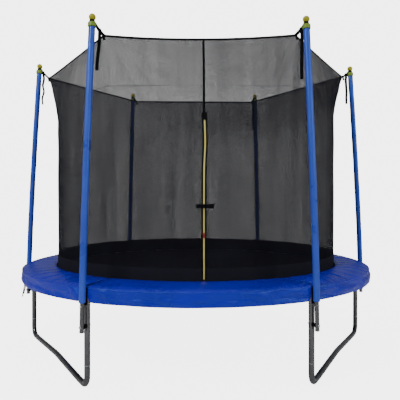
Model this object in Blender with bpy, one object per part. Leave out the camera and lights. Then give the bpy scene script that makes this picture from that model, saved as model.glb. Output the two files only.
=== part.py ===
"""Round garden trampoline with a safety net, built piece by piece.

Metres, +Z up, standing on z = 0 with its centre on the Z axis. The door of the net faces -Y.
Six stations stand round the frame. Each has an upright, a net pole, a foam sleeve, a cap and a strap,
and each U-shaped leg base joins two neighbouring stations.
"""

from math import asin, atan2, cos, hypot, pi, radians, sin, tan

import bmesh
import bpy
from mathutils import Matrix, Vector

# ---- Driving dimensions -------------------------------------------------------------------------

STATIONS = {                      # angle of each station about +Z, in degrees from +X
    "front_left": -120.0,
    "front_right": -60.0,
    "right": 0.0,
    "back_right": 60.0,
    "back_left": 120.0,
    "left": 180.0,
}
LEG_BASES = {                     # the two stations that each foot bar joins
    "left": ("left", "front_left"),
    "right": ("front_right", "right"),
    "back": ("back_right", "back_left"),
}
GAP = 0.0003                      # between pieces that touch
SIDES = 16                        # of every round steel tube

FRAME_R = 1.199                   # ring of top rails, to the tube's centre line
RAIL_Z = 0.524
TUBE_R = 0.016
PLUG_R = 0.0138                   # swaged end of a tube, inside its neighbour
PLUG_LENGTH = 0.038
RAIL_STEPS = 9
RAIL_SIDES = 12

SOCKET_R = 0.018                  # sleeve under a rail that takes an upright
SOCKET_MOUTH_Z = 0.462
SOCKET_DEPTH = 0.040

BASE_TOP_Z = 0.130
BASE_BEND_R = 0.060
FOOT_LENGTH = 0.075               # straight stretch that stands on the ground
BAR_RISE = 0.018                  # how far the middle of a foot bar is raised

POLE_R = 0.01175
POLE_LOW = (1.242, 0.314)         # (radius, height) of a pole's lower end
BALL_Z = 1.991                    # centre of the ball on its cap
POLE_LEAN = 0.038                 # how far a pole leans inward over that height
POLE_BOW = 0.0475                 # how much further the net's pull bends its top inward
POLE_KNOTS = [0.314, 0.468, 0.76, 1.05, 1.34, 1.63, 1.9365, 1.991]    # heights where a pole changes direction
FOAM_R = 0.0185
FOAM_LOW_Z = POLE_KNOTS[1]
FOAM_HIGH_Z = POLE_KNOTS[6]
FIXING_Z = 0.342                  # bolt that ties a pole to its upright
BOLT_R = 0.004

COLLAR_R = 0.0203
BALL_R = 0.0175
NECK_R = 0.009
COLLAR_SPAN = (1.9375, 1.963)
POLE_IN_CAP = 0.020
NECK_TOP_Z = 1.9765

STRAP_RING_R = 0.0132
STRAP_RING_SPAN = (1.964, 1.9745)
STRAP_NECK_Z = 1.969
STRAP_WIDTH = 0.014
STRAP_THICK = 0.003
STRAP_KNOT = 0.45                 # share of the way from the neck to the net where the tail is tied
TAIL_R = 0.006
TAIL_SPACING = 0.030
TAILS = {                         # station: (length, side it sways to)
    "front_left": (0.220, 1.0),
    "front_right": (0.276, -1.0),
    "right": (0.220, 1.0),
    "back_right": (0.280, -1.0),
    "left": (0.235, 1.0),
}
TAIL_SWAY = [(0.0, 0.0), (0.004, -0.002), (-0.004, 0.004), (-0.008, 0.002), (-0.003, -0.003), (-0.004, 0.0)]

PAD_INNER_R = 0.998
PAD_OUTER_R = 1.220
PAD_BASE_Z = 0.541
PAD_TOP_Z = 0.569
PAD_CHAMFER = (0.012, 0.008)      # of the inner edge: (out, down)
PAD_SLOPE = [(0.035, 0.012), (0.010, 0.020), (0.002, 0.026), (0.0, 0.032)]    # (in from outer edge, down)
SKIRT_LOW_Z = 0.470
SKIRT_TOP_Z = 0.530               # under the pad, where it starts to hang
SKIRT_THICK = 0.003
PAD_STEPS = 72
SLOT_FLOOR_R = 1.2115
SLOT_HALF = 0.0215

MAT_R = 1.020
MAT_SPAN = (0.526, 0.531)
SPRING_COUNT = 48
SPRING_R = 0.0075
HOOP_R = 0.004
SPRING_CLEAR = 0.006              # between a spring and the rail that it hooks on

NET_R = 0.988
NET_THICK = 0.003
NET_LOW_Z = 0.536
NET_FLARE_Z = (1.250, 1.600)      # above these the net is drawn out to its corners, and in between them
NET_FLARE_POWER = 1.8
NET_CORNER = (1.078, 1.919)       # (radius, height) of a corner
NET_SAGS = [0.0, 0.0, 0.0, 0.006, 0.025, 0.008]    # how far each side of its top edge hangs, round from +X
NET_STEP = 7.5                    # degrees

DOOR_ANGLE = -88.7                # degrees
DOOR_SPAN = (0.575, 1.459)
DOOR_SLIT_HALF = 0.12             # degrees
TAPE_INNER_R = 0.9901
TAPE_WIDTH = 0.029
TAPE_THICK = 0.0012
CHAIN_WIDTH = 0.012
CHAIN_THICK = 0.0030              # tape included

SLIDER_Z = 0.821                  # the puller's hinge line
SLIDER_SIZE = (0.016, 0.0020, 0.018)
ARCH_WIDTH = 0.004
ARCH_REACH = 0.0042
ARCH_HALF = 0.0044
ARCH_BAR = 0.0012
PULLER_REACH = 0.0015             # hinge line in front of the slider's plate
PULLER_THICK = 0.0014
PULLER_DROP = 0.0215
PULLER_WIDTH = 0.012

BUCKLE_Z = 0.974
BUCKLE_R = 1.0002
BUCKLE_SIZE = (0.030, 0.0085, 0.024)
PRONG_LENGTH = 0.022

COLOURS = {                       # base colour, roughness, metallic
    "galvanised_steel": ((0.33, 0.33, 0.35), 0.42, 1.0),
    "blue_pvc_foam": ((0.04, 0.11, 0.45), 0.45, 0.0),
    "yellow_green_plastic": ((0.42, 0.39, 0.03), 0.35, 0.0),
    "black_plastic": ((0.012, 0.012, 0.013), 0.50, 0.0),
    "black_webbing": ((0.015, 0.015, 0.016), 0.85, 0.0),
    "blue_pvc_cover": ((0.01, 0.04, 0.38), 0.30, 0.0),
    "black_mat": ((0.011, 0.011, 0.013), 0.80, 0.0),
    "spring_steel": ((0.45, 0.45, 0.47), 0.35, 1.0),
    "black_net": ((0.02, 0.02, 0.02), 0.90, 0.0),
    "yellow_zip_tape": ((0.50, 0.43, 0.12), 0.60, 0.0),
    "red_enamel": ((0.28, 0.03, 0.02), 0.35, 0.0),
}


# ---- Scene and mesh helpers ---------------------------------------------------------------------

def clear_scene():
    for old in list(bpy.data.objects):
        bpy.data.objects.remove(old, do_unlink=True)


def material(name):
    known = bpy.data.materials.get(name)
    if known:
        return known
    colour, roughness, metallic = COLOURS[name]
    made = bpy.data.materials.new(name)
    made.use_nodes = True
    shader = made.node_tree.nodes["Principled BSDF"]
    shader.inputs["Base Color"].default_value = (*colour, 1.0)
    shader.inputs["Roughness"].default_value = roughness
    shader.inputs["Metallic"].default_value = metallic
    return made


def add_object(name, mesh, slot, smooth=True):
    mesh.materials.append(material(slot))
    if smooth:
        mesh.shade_smooth()
        mesh.set_sharp_from_angle(angle=radians(35.0))
    piece = bpy.data.objects.new(name, mesh)
    bpy.context.scene.collection.objects.link(piece)
    return piece


def mesh_from(name, build):
    """Make a mesh by running build(bm) on an empty bmesh."""
    bm = bmesh.new()
    build(bm)
    bmesh.ops.recalc_face_normals(bm, faces=bm.faces)
    mesh = bpy.data.meshes.new(name)
    bm.to_mesh(mesh)
    bm.free()
    return mesh


def skin_rings(bm, rings):
    """Skin a list of rings of points; a ring of one point closes the form to a tip."""
    rows = [[bm.verts.new(point) for point in ring] for ring in rings]
    for low, high in zip(rows, rows[1:]):
        for i in range(max(len(low), len(high))):
            j = i + 1
            if len(low) == 1:
                bm.faces.new((low[0], high[j % len(high)], high[i]))
            elif len(high) == 1:
                bm.faces.new((low[i], low[j % len(low)], high[0]))
            else:
                bm.faces.new((low[i], low[j % len(low)], high[j % len(high)], high[i]))
    for end in (rows[0], rows[-1]):
        if len(end) > 1:
            bm.faces.new(end)


def ring_points(centre, u, v, radius, sides, turn=0.5):
    """Points round a centre; with turn 0.5 two flats face along u and two along v."""
    if radius == 0.0:
        return [centre]
    reach = radius / cos(pi / sides)
    angles = [2.0 * pi * (i + turn) / sides for i in range(sides)]
    return [centre + reach * (cos(a) * u + sin(a) * v) for a in angles]


def swept(name, place, profile, sides=SIDES):
    """Sweep a turned profile of (distance, radius) steps; place(distance) gives centre, u and v."""
    def build(bm):
        rings = []
        for distance, radius in profile:
            centre, u, v = place(distance)
            rings.append(ring_points(centre, u, v, radius, sides))
        skin_rings(bm, rings)
    return mesh_from(name, build)


def straight(start, direction, u):
    """A place() for swept() along a straight line."""
    v = direction.cross(u).normalized()
    return lambda distance: (start + direction * distance, u, v)


def prism(name, outline, x_span):
    """Extrude a (y, z) outline along X."""
    def build(bm):
        skin_rings(bm, [[Vector((x, y, z)) for y, z in outline] for x in x_span])
    return mesh_from(name, build)


def box_mesh(name, low, high):
    outline = [(low[1], low[2]), (high[1], low[2]), (high[1], high[2]), (low[1], high[2])]
    return prism(name, outline, (low[0], high[0]))


def tool(name, mesh):
    """A guide object for a Boolean, left out of the model."""
    guide = bpy.data.objects.new(name, mesh)
    bpy.context.scene.collection.objects.link(guide)
    guide.hide_render = True
    guide.display_type = "WIRE"
    return guide


def boolean(piece, operation, guide):
    cut = piece.modifiers.new(guide.name, "BOOLEAN")
    cut.operation = operation
    cut.object = guide
    cut.solver = "EXACT"


# ---- Places round the frame ---------------------------------------------------------------------

def outward(angle):
    return Vector((cos(radians(angle)), sin(radians(angle)), 0.0))


def sideways(angle):
    return Vector((-sin(radians(angle)), cos(radians(angle)), 0.0))


def polar(angle, radius, height):
    return outward(angle) * radius + Vector((0.0, 0.0, height))


def station_frame(angle, radius=0.0, height=0.0):
    """Local X along the tangent, local Y inward, local Z up."""
    turn = Matrix.Rotation(radians(angle + 90.0), 4, "Z")
    return Matrix.Translation(polar(angle, radius, height)) @ turn


def bent_radius(height):
    """Radius that a pole's centre line takes at a height, as a rod bent by its tip."""
    share = (height - POLE_LOW[1]) / (BALL_Z - POLE_LOW[1])
    return POLE_LOW[0] - POLE_LEAN * share - POLE_BOW * (3.0 * share ** 2 - share ** 3) / 2.0


def pole_stretch(height):
    """The two knots that a height lies between."""
    above = [knot for knot in POLE_KNOTS[1:-1] if knot >= height]
    high = above[0] if above else POLE_KNOTS[-1]
    return POLE_KNOTS[POLE_KNOTS.index(high) - 1], high


def pole_radius(height):
    """Radius of a pole's centre line, which runs straight between its knots."""
    low, high = pole_stretch(height)
    share = (height - low) / (high - low)
    return bent_radius(low) + share * (bent_radius(high) - bent_radius(low))


def pole_place(angle):
    """A place() whose distance is a height, along a leaning pole."""
    side = sideways(angle)

    def place(height):
        low, high = pole_stretch(height)
        lean = (polar(angle, bent_radius(high), high) - polar(angle, bent_radius(low), low)).normalized()
        return polar(angle, pole_radius(height), height), side, lean.cross(side).normalized()

    return place


# ---- Steel frame --------------------------------------------------------------------------------

def top_rail(station, angle):
    half = 30.0 - GAP / FRAME_R * 90.0 / pi

    def place(distance):
        turned = angle - half + distance / FRAME_R * 180.0 / pi
        return polar(turned, FRAME_R, RAIL_Z), outward(turned), Vector((0.0, 0.0, 1.0))

    length = radians(2.0 * half) * FRAME_R
    steps = [length * i / RAIL_STEPS for i in range(1, RAIL_STEPS)]
    profile = [(PLUG_LENGTH + 0.003, PLUG_R + GAP), (0.0, PLUG_R + GAP), (0.0, TUBE_R)]
    profile += [(step, TUBE_R) for step in steps]
    profile += [(length, TUBE_R), (length, PLUG_R), (length + PLUG_LENGTH, PLUG_R)]
    name = f"top_rail_{station}"
    rail = add_object(name, swept(name, place, profile, RAIL_SIDES), "galvanised_steel")

    up = Vector((0.0, 0.0, 1.0))
    mouth = polar(angle, FRAME_R, SOCKET_MOUTH_Z)
    bore = TUBE_R + GAP
    socket = [(SOCKET_DEPTH + 0.001, bore), (0.0, bore), (0.0, SOCKET_R), (RAIL_Z - SOCKET_MOUTH_Z, SOCKET_R)]
    sleeve = swept(f"{name}_socket_shape", straight(mouth, up, sideways(angle)), socket)
    boolean(rail, "UNION", tool(f"{name}_socket", sleeve))


def bolt_hole(piece, angle):
    """Cut the hole for the bolt that ties a pole to its upright."""
    start = polar(angle, FRAME_R - 0.05, FIXING_Z)
    shape = swept("bolt_hole_shape", straight(start, outward(angle), sideways(angle)),
                  [(0.0, BOLT_R + GAP), (0.15, BOLT_R + GAP)], sides=8)
    boolean(piece, "DIFFERENCE", tool(f"{piece.name}_bolt_hole", shape))


def leg_upright(station, angle):
    up = Vector((0.0, 0.0, 1.0))
    low = BASE_TOP_Z + GAP
    length = SOCKET_MOUTH_Z + SOCKET_DEPTH - low
    bore = PLUG_R + GAP
    profile = [(PLUG_LENGTH + 0.003, bore), (0.0, bore), (0.0, TUBE_R), (length, TUBE_R)]
    name = f"leg_upright_{station}"
    shape = swept(name, straight(polar(angle, FRAME_R, low), up, sideways(angle)), profile)
    bolt_hole(add_object(name, shape, "galvanised_steel"), angle)


def fillet_route(corners, radii, step=radians(15.0)):
    """Points and headings along straight runs in (x, z), joined by arcs of the given radii."""
    route = [(Vector(corners[0]), None)]
    for before, corner, after, radius in zip(corners, corners[1:], corners[2:], radii):
        here = Vector(corner)
        into = (here - Vector(before)).normalized()
        out = (Vector(after) - here).normalized()
        bend = atan2(into.cross(out), into.dot(out))
        trim = radius * tan(abs(bend) / 2.0)
        count = max(2, round(abs(bend) / step))
        centre = here - into * trim + Vector((-into.y, into.x)) * radius * (1 if bend > 0 else -1)
        arm = here - into * trim - centre
        for i in range(count + 1):
            share = i / count
            c, s = cos(bend * share), sin(bend * share)
            point = centre + Vector((arm.x * c - arm.y * s, arm.x * s + arm.y * c))
            heading = Vector((into.x * c - into.y * s, into.x * s + into.y * c))
            route.append((point, heading))
    route.append((Vector(corners[-1]), None))
    first = (route[1][0] - route[0][0]).normalized()
    last = (route[-1][0] - route[-2][0]).normalized()
    route[0] = (route[0][0], first)
    route[-1] = (route[-1][0], last)
    return route


def leg_base(name, first, second):
    start = polar(STATIONS[first], FRAME_R, 0.0)
    end = polar(STATIONS[second], FRAME_R, 0.0)
    across = (end - start).normalized()
    middle = (start + end) / 2.0
    depth = Vector((0.0, 0.0, 1.0)).cross(across)
    half = (end - start).length / 2.0
    foot = half - BASE_BEND_R - FOOT_LENGTH
    corners = [(-half, BASE_TOP_Z), (-half, TUBE_R), (-foot, TUBE_R), (0.0, TUBE_R + BAR_RISE),
               (foot, TUBE_R), (half, TUBE_R), (half, BASE_TOP_Z)]
    route = fillet_route(corners, [BASE_BEND_R, 0.3, 1.2, 0.3, BASE_BEND_R])

    def build(bm):
        rings = []
        stub = [(0.0, PLUG_LENGTH, PLUG_R), (0.0, 0.0, PLUG_R)]
        spots = [(0, drop, radius) for _, drop, radius in stub]
        spots += [(i, 0.0, TUBE_R) for i in range(len(route))]
        spots += [(len(route) - 1, drop, radius) for _, drop, radius in reversed(stub)]
        for index, rise, radius in spots:
            point, heading = route[index]
            normal = across * -heading.y + Vector((0.0, 0.0, heading.x))
            centre = middle + across * point.x + Vector((0.0, 0.0, point.y + rise))
            rings.append(ring_points(centre, normal, depth, radius, SIDES))
        skin_rings(bm, rings)

    title = f"leg_base_{name}"
    add_object(title, mesh_from(title, build), "galvanised_steel")


def net_pole(station, angle):
    name = f"net_pole_{station}"
    heights = POLE_KNOTS[:-1] + [COLLAR_SPAN[0] + POLE_IN_CAP]
    profile = [(height, POLE_R) for height in heights]
    bolt_hole(add_object(name, swept(name, pole_place(angle), profile), "galvanised_steel"), angle)


def pole_foam(station, angle):
    name = f"pole_foam_{station}"
    bore = POLE_R + GAP

    def build(bm):
        place = pole_place(angle)
        knots = [knot for knot in POLE_KNOTS if FOAM_LOW_Z < knot < FOAM_HIGH_Z]
        profile = [(FOAM_LOW_Z, bore), (FOAM_LOW_Z, FOAM_R - 0.004), (FOAM_LOW_Z + 0.006, FOAM_R)]
        profile += [(knot, FOAM_R) for knot in knots]
        profile += [(FOAM_HIGH_Z, FOAM_R), (FOAM_HIGH_Z, bore)]
        profile += [(knot, bore) for knot in reversed(knots)]
        rings = [[bm.verts.new(p) for p in ring_points(*place(z), r, SIDES)] for z, r in profile]
        for low, high in zip(rings, rings[1:] + rings[:1]):
            for i in range(SIDES):
                j = (i + 1) % SIDES
                bm.faces.new((low[i], low[j], high[j], high[i]))

    add_object(name, mesh_from(name, build), "blue_pvc_foam")


def pole_cap(station, angle):
    low, high = COLLAR_SPAN
    bore = POLE_R + GAP
    profile = [(low + POLE_IN_CAP + GAP, bore), (low, bore), (low, COLLAR_R), (high - 0.003, COLLAR_R),
               (high, COLLAR_R - 0.003), (high, NECK_R), (NECK_TOP_Z, NECK_R)]
    ball_steps = 5
    first = pi - asin(NECK_R / BALL_R)
    for i in range(ball_steps):
        around = first * (1.0 - i / ball_steps)
        profile.append((BALL_Z + BALL_R * cos(around), BALL_R * sin(around)))
    profile.append((BALL_Z + BALL_R, 0.0))
    name = f"pole_cap_{station}"
    add_object(name, swept(name, pole_place(angle), profile), "yellow_green_plastic")


def pole_fixing(station, angle):
    """Saddle spacer between pole and upright, with its bolt head, shank and nut as one solid."""
    name = f"pole_fixing_{station}"
    inner = FRAME_R
    outer = pole_radius(FIXING_Z)
    frame = station_frame(angle, FRAME_R, FIXING_Z)
    low = (-0.013, -(outer - inner) - 0.002, -0.013)
    saddle = box_mesh(name, low, (0.013, 0.002, 0.013))
    saddle.transform(frame)
    piece = add_object(name, saddle, "black_plastic")

    up = Vector((0.0, 0.0, 1.0))
    side = sideways(angle)
    upright = swept("saddle_seat", straight(polar(angle, FRAME_R, FIXING_Z - 0.05), up, side),
                    [(0.0, TUBE_R + GAP), (0.1, TUBE_R + GAP)])
    boolean(piece, "DIFFERENCE", tool(f"{name}_upright_seat", upright))
    pole = swept("pole_seat", pole_place(angle),
                 [(FIXING_Z - 0.05, POLE_R + GAP), (FIXING_Z + 0.05, POLE_R + GAP)])
    boolean(piece, "DIFFERENCE", tool(f"{name}_pole_seat", pole))

    nut_in = inner - TUBE_R - 0.0008
    head_out = outer + POLE_R + 0.0010
    bolt = [(nut_in - 0.006, 0.0065), (nut_in, 0.0065), (nut_in, BOLT_R), (head_out, BOLT_R),
            (head_out, 0.0075), (head_out + 0.003, 0.006), (head_out + 0.0045, 0.0)]
    shape = swept("bolt", straight(Vector((0.0, 0.0, FIXING_Z)), outward(angle), side), bolt, sides=8)
    boolean(piece, "UNION", tool(f"{name}_bolt", shape))


# ---- Straps that tie the net to the poles ----------------------------------------------------------

def strap_ends():
    """Ends of a strap's taut run, in a pole's own (radius, height) plane."""
    neck = (pole_radius(STRAP_NECK_Z) - STRAP_RING_R + 0.002, STRAP_NECK_Z)
    corner = (NET_CORNER[0] + NET_THICK / 2.0 + 0.0012, NET_CORNER[1] + 0.002)
    return neck, corner


def net_strap(station, angle):
    """A loop round the cap's neck and a taut run down to the net's corner."""
    name = f"net_strap_{station}"
    place = pole_place(angle)
    bore = NECK_R + GAP
    low, high = STRAP_RING_SPAN
    profile = [(low, bore), (low, STRAP_RING_R), (high, STRAP_RING_R), (high, bore)]

    def build(bm):
        rings = [[bm.verts.new(p) for p in ring_points(*place(z), r, SIDES)] for z, r in profile]
        for low, high in zip(rings, rings[1:] + rings[:1]):
            for i in range(SIDES):
                j = (i + 1) % SIDES
                bm.faces.new((low[i], low[j], high[j], high[i]))

    piece = add_object(name, mesh_from(name, build), "black_webbing")
    neck, corner = strap_ends()
    run = hypot(corner[0] - neck[0], corner[1] - neck[1])
    web = box_mesh(f"{name}_web_shape", (-STRAP_WIDTH / 2.0, 0.0, -STRAP_THICK / 2.0),
                   (STRAP_WIDTH / 2.0, run, STRAP_THICK / 2.0))
    tilt = Matrix.Rotation(atan2(corner[1] - neck[1], neck[0] - corner[0]), 4, "X")
    web.transform(station_frame(angle, *neck) @ tilt)
    boolean(piece, "UNION", tool(f"{name}_web", web))


def smooth_route(points, spacing):
    """Points read from a Catmull-Rom curve through a cord's own route."""
    ends = [points[0] * 2.0 - points[1]] + points + [points[-1] * 2.0 - points[-2]]
    read = []
    for a, b, c, d in zip(ends, ends[1:], ends[2:], ends[3:]):
        count = max(1, round((c - b).length / spacing))
        for i in range(count):
            t = i / count
            read.append(0.5 * (2.0 * b + (c - a) * t + (2.0 * a - 5.0 * b + 4.0 * c - d) * t * t
                               + (3.0 * b - a - 3.0 * c + d) * t ** 3))
    return read + [points[-1]]


def tail_route(station, angle):
    length, sway = TAILS[station]
    neck, corner = strap_ends()
    radius = neck[0] + (corner[0] - neck[0]) * STRAP_KNOT
    top = neck[1] + (corner[1] - neck[1]) * STRAP_KNOT - STRAP_THICK - 0.0040
    points = []
    for i, (along, inward) in enumerate(TAIL_SWAY):
        height = top - length * i / (len(TAIL_SWAY) - 1)
        points.append(polar(angle, radius - inward, height) + sideways(angle) * along * sway)
    return points


def strap_tail(station, angle):
    """The loose end of a strap, hanging from its knot."""
    name = f"strap_tail_{station}"
    curve = bpy.data.curves.new(name, "CURVE")
    curve.dimensions = "3D"
    curve.bevel_depth = TAIL_R
    curve.bevel_resolution = 2
    curve.use_fill_caps = True
    points = smooth_route(tail_route(station, angle), TAIL_SPACING)
    spline = curve.splines.new("POLY")
    spline.points.add(len(points) - 1)
    for spot, point in zip(spline.points, points):
        spot.co = (*point, 1.0)
    curve.materials.append(material("black_webbing"))
    tail = bpy.data.objects.new(name, curve)
    bpy.context.scene.collection.objects.link(tail)


# ---- Jumping bed ----------------------------------------------------------------------------------

def turned_ring(name, outline, steps):
    """A closed (radius, height) outline turned once about the Z axis."""
    def build(bm):
        rows = []
        for i in range(steps):
            angle = 360.0 * i / steps
            rows.append([bm.verts.new(polar(angle, r, z)) for r, z in outline])
        for row, after in zip(rows, rows[1:] + rows[:1]):
            for k in range(len(outline)):
                n = (k + 1) % len(outline)
                bm.faces.new((row[k], row[n], after[n], after[k]))
    return mesh_from(name, build)


def safety_pad():
    low = PAD_BASE_Z
    top = PAD_TOP_Z
    outline = [(PAD_INNER_R, low), (PAD_INNER_R, top - PAD_CHAMFER[1]), (PAD_INNER_R + PAD_CHAMFER[0], top)]
    outline += [(PAD_OUTER_R - inward, top - drop) for inward, drop in PAD_SLOPE]
    outline += [(PAD_OUTER_R, SKIRT_LOW_Z), (PAD_OUTER_R - SKIRT_THICK, SKIRT_LOW_Z),
                (PAD_OUTER_R - SKIRT_THICK, SKIRT_TOP_Z), (PAD_OUTER_R - 0.012, low)]
    pad = add_object("safety_pad", turned_ring("safety_pad", outline, PAD_STEPS), "blue_pvc_cover")
    for station, angle in STATIONS.items():
        slot = box_mesh(f"slot_{station}", (-SLOT_HALF, -0.05, -0.2), (SLOT_HALF, 0.0, 0.2))
        slot.transform(station_frame(angle, SLOT_FLOOR_R, top))
        boolean(pad, "DIFFERENCE", tool(f"pad_slot_{station}", slot))


def jump_mat():
    def build(bm):
        rings = []
        for z in MAT_SPAN:
            rings.append([polar(360.0 * i / SPRING_COUNT, MAT_R, z) for i in range(SPRING_COUNT)])
        skin_rings(bm, rings)
    add_object("jump_mat", mesh_from("jump_mat", build), "black_mat", smooth=False)


def springs():
    """The ring of springs, as straight bars on a wire hoop round the mat's edge."""
    height = (MAT_SPAN[0] + MAT_SPAN[1]) / 2.0
    hoop_at = MAT_R + HOOP_R + 0.004
    reach = FRAME_R - TUBE_R - SPRING_CLEAR
    square = [(-HOOP_R, -HOOP_R), (HOOP_R, -HOOP_R), (HOOP_R, HOOP_R), (-HOOP_R, HOOP_R)]
    hoop = turned_ring("springs", [(hoop_at + a, height + b) for a, b in square], SPRING_COUNT)
    piece = add_object("springs", hoop, "spring_steel")

    def build(bm):
        for i in range(SPRING_COUNT):
            angle = 360.0 * (i + 0.5) / SPRING_COUNT
            side = sideways(angle)
            up = Vector((0.0, 0.0, 1.0))
            ends = [polar(angle, r, height) for r in (hoop_at, reach)]
            skin_rings(bm, [ring_points(end, side, up, SPRING_R, 4) for end in ends])

    boolean(piece, "UNION", tool("spring_bars", mesh_from("spring_bars", build)))


# ---- Net and door ---------------------------------------------------------------------------------

def net_point(angle, share, outside):
    """A point of the net; share runs from 0 at its hem to 1 at its top edge."""
    off = (angle % 60.0) - 30.0
    flat = NET_CORNER[0] * cos(radians(30.0)) / cos(radians(off))
    corner_share = (abs(off) / 30.0) ** 2
    top = NET_CORNER[1] - NET_SAGS[int(angle // 60.0) % 6] * (1.0 - corner_share)
    height = NET_LOW_Z + share * (top - NET_LOW_Z)
    flare_from = NET_FLARE_Z[0] if flat > NET_R else NET_FLARE_Z[1]
    pull = max(0.0, (height - flare_from) / (NET_CORNER[1] - flare_from)) ** NET_FLARE_POWER
    radius = NET_R + (flat - NET_R) * pull
    return polar(angle, radius + NET_THICK * (0.5 if outside else -0.5), height)


def enclosure_net():
    angles = [NET_STEP * i - 180.0 for i in range(round(360.0 / NET_STEP))]
    angles += [DOOR_ANGLE - DOOR_SLIT_HALF, DOOR_ANGLE + DOOR_SLIT_HALF]
    angles.sort()
    full = NET_CORNER[1] - NET_LOW_Z
    low_share = (DOOR_SPAN[0] + 0.004 - NET_LOW_Z) / full
    high_share = (DOOR_SPAN[1] - 0.004 - NET_LOW_Z) / full
    shares = [0.0, low_share, high_share, 0.81, 0.87, 0.92, 0.965, 1.0]
    slit_column = angles.index(DOOR_ANGLE - DOOR_SLIT_HALF)
    slit_row = 1

    def build(bm):
        skins = []
        for outside in (False, True):
            skins.append([[bm.verts.new(net_point(a, s, outside)) for s in shares] for a in angles])
        inner, outer = skins
        count = len(angles)
        for i in range(count):
            j = (i + 1) % count
            for k in range(len(shares) - 1):
                if i == slit_column and k == slit_row:
                    continue
                bm.faces.new((inner[i][k], inner[i][k + 1], inner[j][k + 1], inner[j][k]))
                bm.faces.new((outer[i][k], outer[j][k], outer[j][k + 1], outer[i][k + 1]))
            for k in (0, len(shares) - 1):
                bm.faces.new((inner[i][k], inner[j][k], outer[j][k], outer[i][k]))
        i, j = slit_column, slit_column + 1
        a, b = slit_row, slit_row + 1
        for (c, p), (d, q) in (((i, a), (j, a)), ((j, a), (j, b)), ((j, b), (i, b)), ((i, b), (i, a))):
            bm.faces.new((inner[c][p], inner[d][q], outer[d][q], outer[c][p]))

    add_object("enclosure_net", mesh_from("enclosure_net", build), "black_net")


def door_frame(height, radius=TAPE_INNER_R):
    """Local X to the right seen from outside, local Y inward, local Z up."""
    return station_frame(DOOR_ANGLE, radius, height)


def door_zipper():
    """Tape with the raised chain along its middle."""
    tape, chain = TAPE_WIDTH / 2.0, CHAIN_WIDTH / 2.0
    outline = [(-tape, 0.0), (tape, 0.0), (tape, -TAPE_THICK), (chain, -TAPE_THICK),
               (chain, -CHAIN_THICK), (-chain, -CHAIN_THICK), (-chain, -TAPE_THICK), (-tape, -TAPE_THICK)]

    def build(bm):
        ends = (0.0, DOOR_SPAN[1] - DOOR_SPAN[0])
        skin_rings(bm, [[Vector((x, y, z)) for x, y in outline] for z in ends])

    zipper = add_object("door_zipper", mesh_from("door_zipper", build), "yellow_zip_tape", smooth=False)
    zipper.matrix_world = door_frame(DOOR_SPAN[0])


def zip_slider():
    """Slider plate with the arch that holds its puller; its origin is on the puller's hinge line."""
    width, thick, tall = SLIDER_SIZE
    empty = bpy.data.objects.new("slider_place", None)
    bpy.context.scene.collection.objects.link(empty)
    empty.matrix_world = door_frame(SLIDER_Z, TAPE_INNER_R + CHAIN_THICK + GAP + thick)
    plate = box_mesh("zip_slider", (-width / 2.0, 0.0, -tall / 2.0), (width / 2.0, thick, tall / 2.0))
    slider = add_object("zip_slider", plate, "red_enamel", smooth=False)
    slider.parent = empty

    reach, half, bar = ARCH_REACH, ARCH_HALF, ARCH_BAR
    staple = [(0.0005, -half), (-reach, -half), (-reach, half), (0.0005, half), (0.0005, half - bar),
              (bar - reach, half - bar), (bar - reach, bar - half), (0.0005, bar - half)]
    arch = prism("arch_shape", staple, (-ARCH_WIDTH / 2.0, ARCH_WIDTH / 2.0))
    guide = tool("slider_arch", arch)
    guide.parent = empty
    boolean(slider, "UNION", guide)

    hinge = bpy.data.objects.new("puller_hinge", None)
    bpy.context.scene.collection.objects.link(hinge)
    hinge.parent = empty
    hinge.location = (0.0, -PULLER_REACH, 0.0)
    half_width = PULLER_WIDTH / 2.0
    edge = PULLER_THICK / 2.0
    tab = box_mesh("zip_puller", (-half_width, -edge, -PULLER_DROP), (half_width, edge, edge))
    puller = add_object("zip_puller", tab, "red_enamel", smooth=False)
    puller.parent = hinge
    opening = box_mesh("window_shape", (-0.0027, -0.01, -0.0058), (0.0027, 0.01, -edge))
    window = tool("puller_window", opening)
    window.parent = hinge
    boolean(puller, "DIFFERENCE", window)


def door_buckle():
    """Side-release buckle: a hollow socket on the left and a two-pronged plug on the right."""
    width, thick, tall = BUCKLE_SIZE
    empty = bpy.data.objects.new("buckle_place", None)
    bpy.context.scene.collection.objects.link(empty)
    empty.matrix_world = door_frame(BUCKLE_Z, BUCKLE_R + thick)
    socket = add_object("buckle_socket", box_mesh("buckle_socket", (-width, 0.0, -tall / 2.0),
                                                  (0.0, thick, tall / 2.0)), "black_plastic", smooth=False)
    socket.parent = empty
    pocket = tool("buckle_pocket", box_mesh("pocket_shape", (-PRONG_LENGTH - 0.001, 0.0018, -0.0092),
                                            (0.01, thick - 0.0018, 0.0092)))
    pocket.parent = empty
    boolean(socket, "DIFFERENCE", pocket)

    body = box_mesh("buckle_prong", (GAP, 0.0, -tall / 2.0), (width * 0.6, thick, tall / 2.0))
    prong = add_object("buckle_prong", body, "black_plastic", smooth=False)
    prong.parent = empty
    for side in (-1, 1):
        low, high = sorted((side * 0.0035, side * 0.0087))
        arm = box_mesh(f"prong_shape_{side}", (-PRONG_LENGTH, 0.0023, low), (0.002, thick - 0.0023, high))
        guide = tool(f"buckle_arm_{'upper' if side > 0 else 'lower'}", arm)
        guide.parent = empty
        boolean(prong, "UNION", guide)


def build_trampoline():
    clear_scene()
    for station, angle in STATIONS.items():
        top_rail(station, angle)
        leg_upright(station, angle)
        net_pole(station, angle)
        pole_foam(station, angle)
        pole_cap(station, angle)
        pole_fixing(station, angle)
        net_strap(station, angle)
    for name, (first, second) in LEG_BASES.items():
        leg_base(name, first, second)
    for station in TAILS:
        strap_tail(station, STATIONS[station])
    safety_pad()
    jump_mat()
    springs()
    enclosure_net()
    door_zipper()
    zip_slider()
    door_buckle()


build_trampoline()
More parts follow.
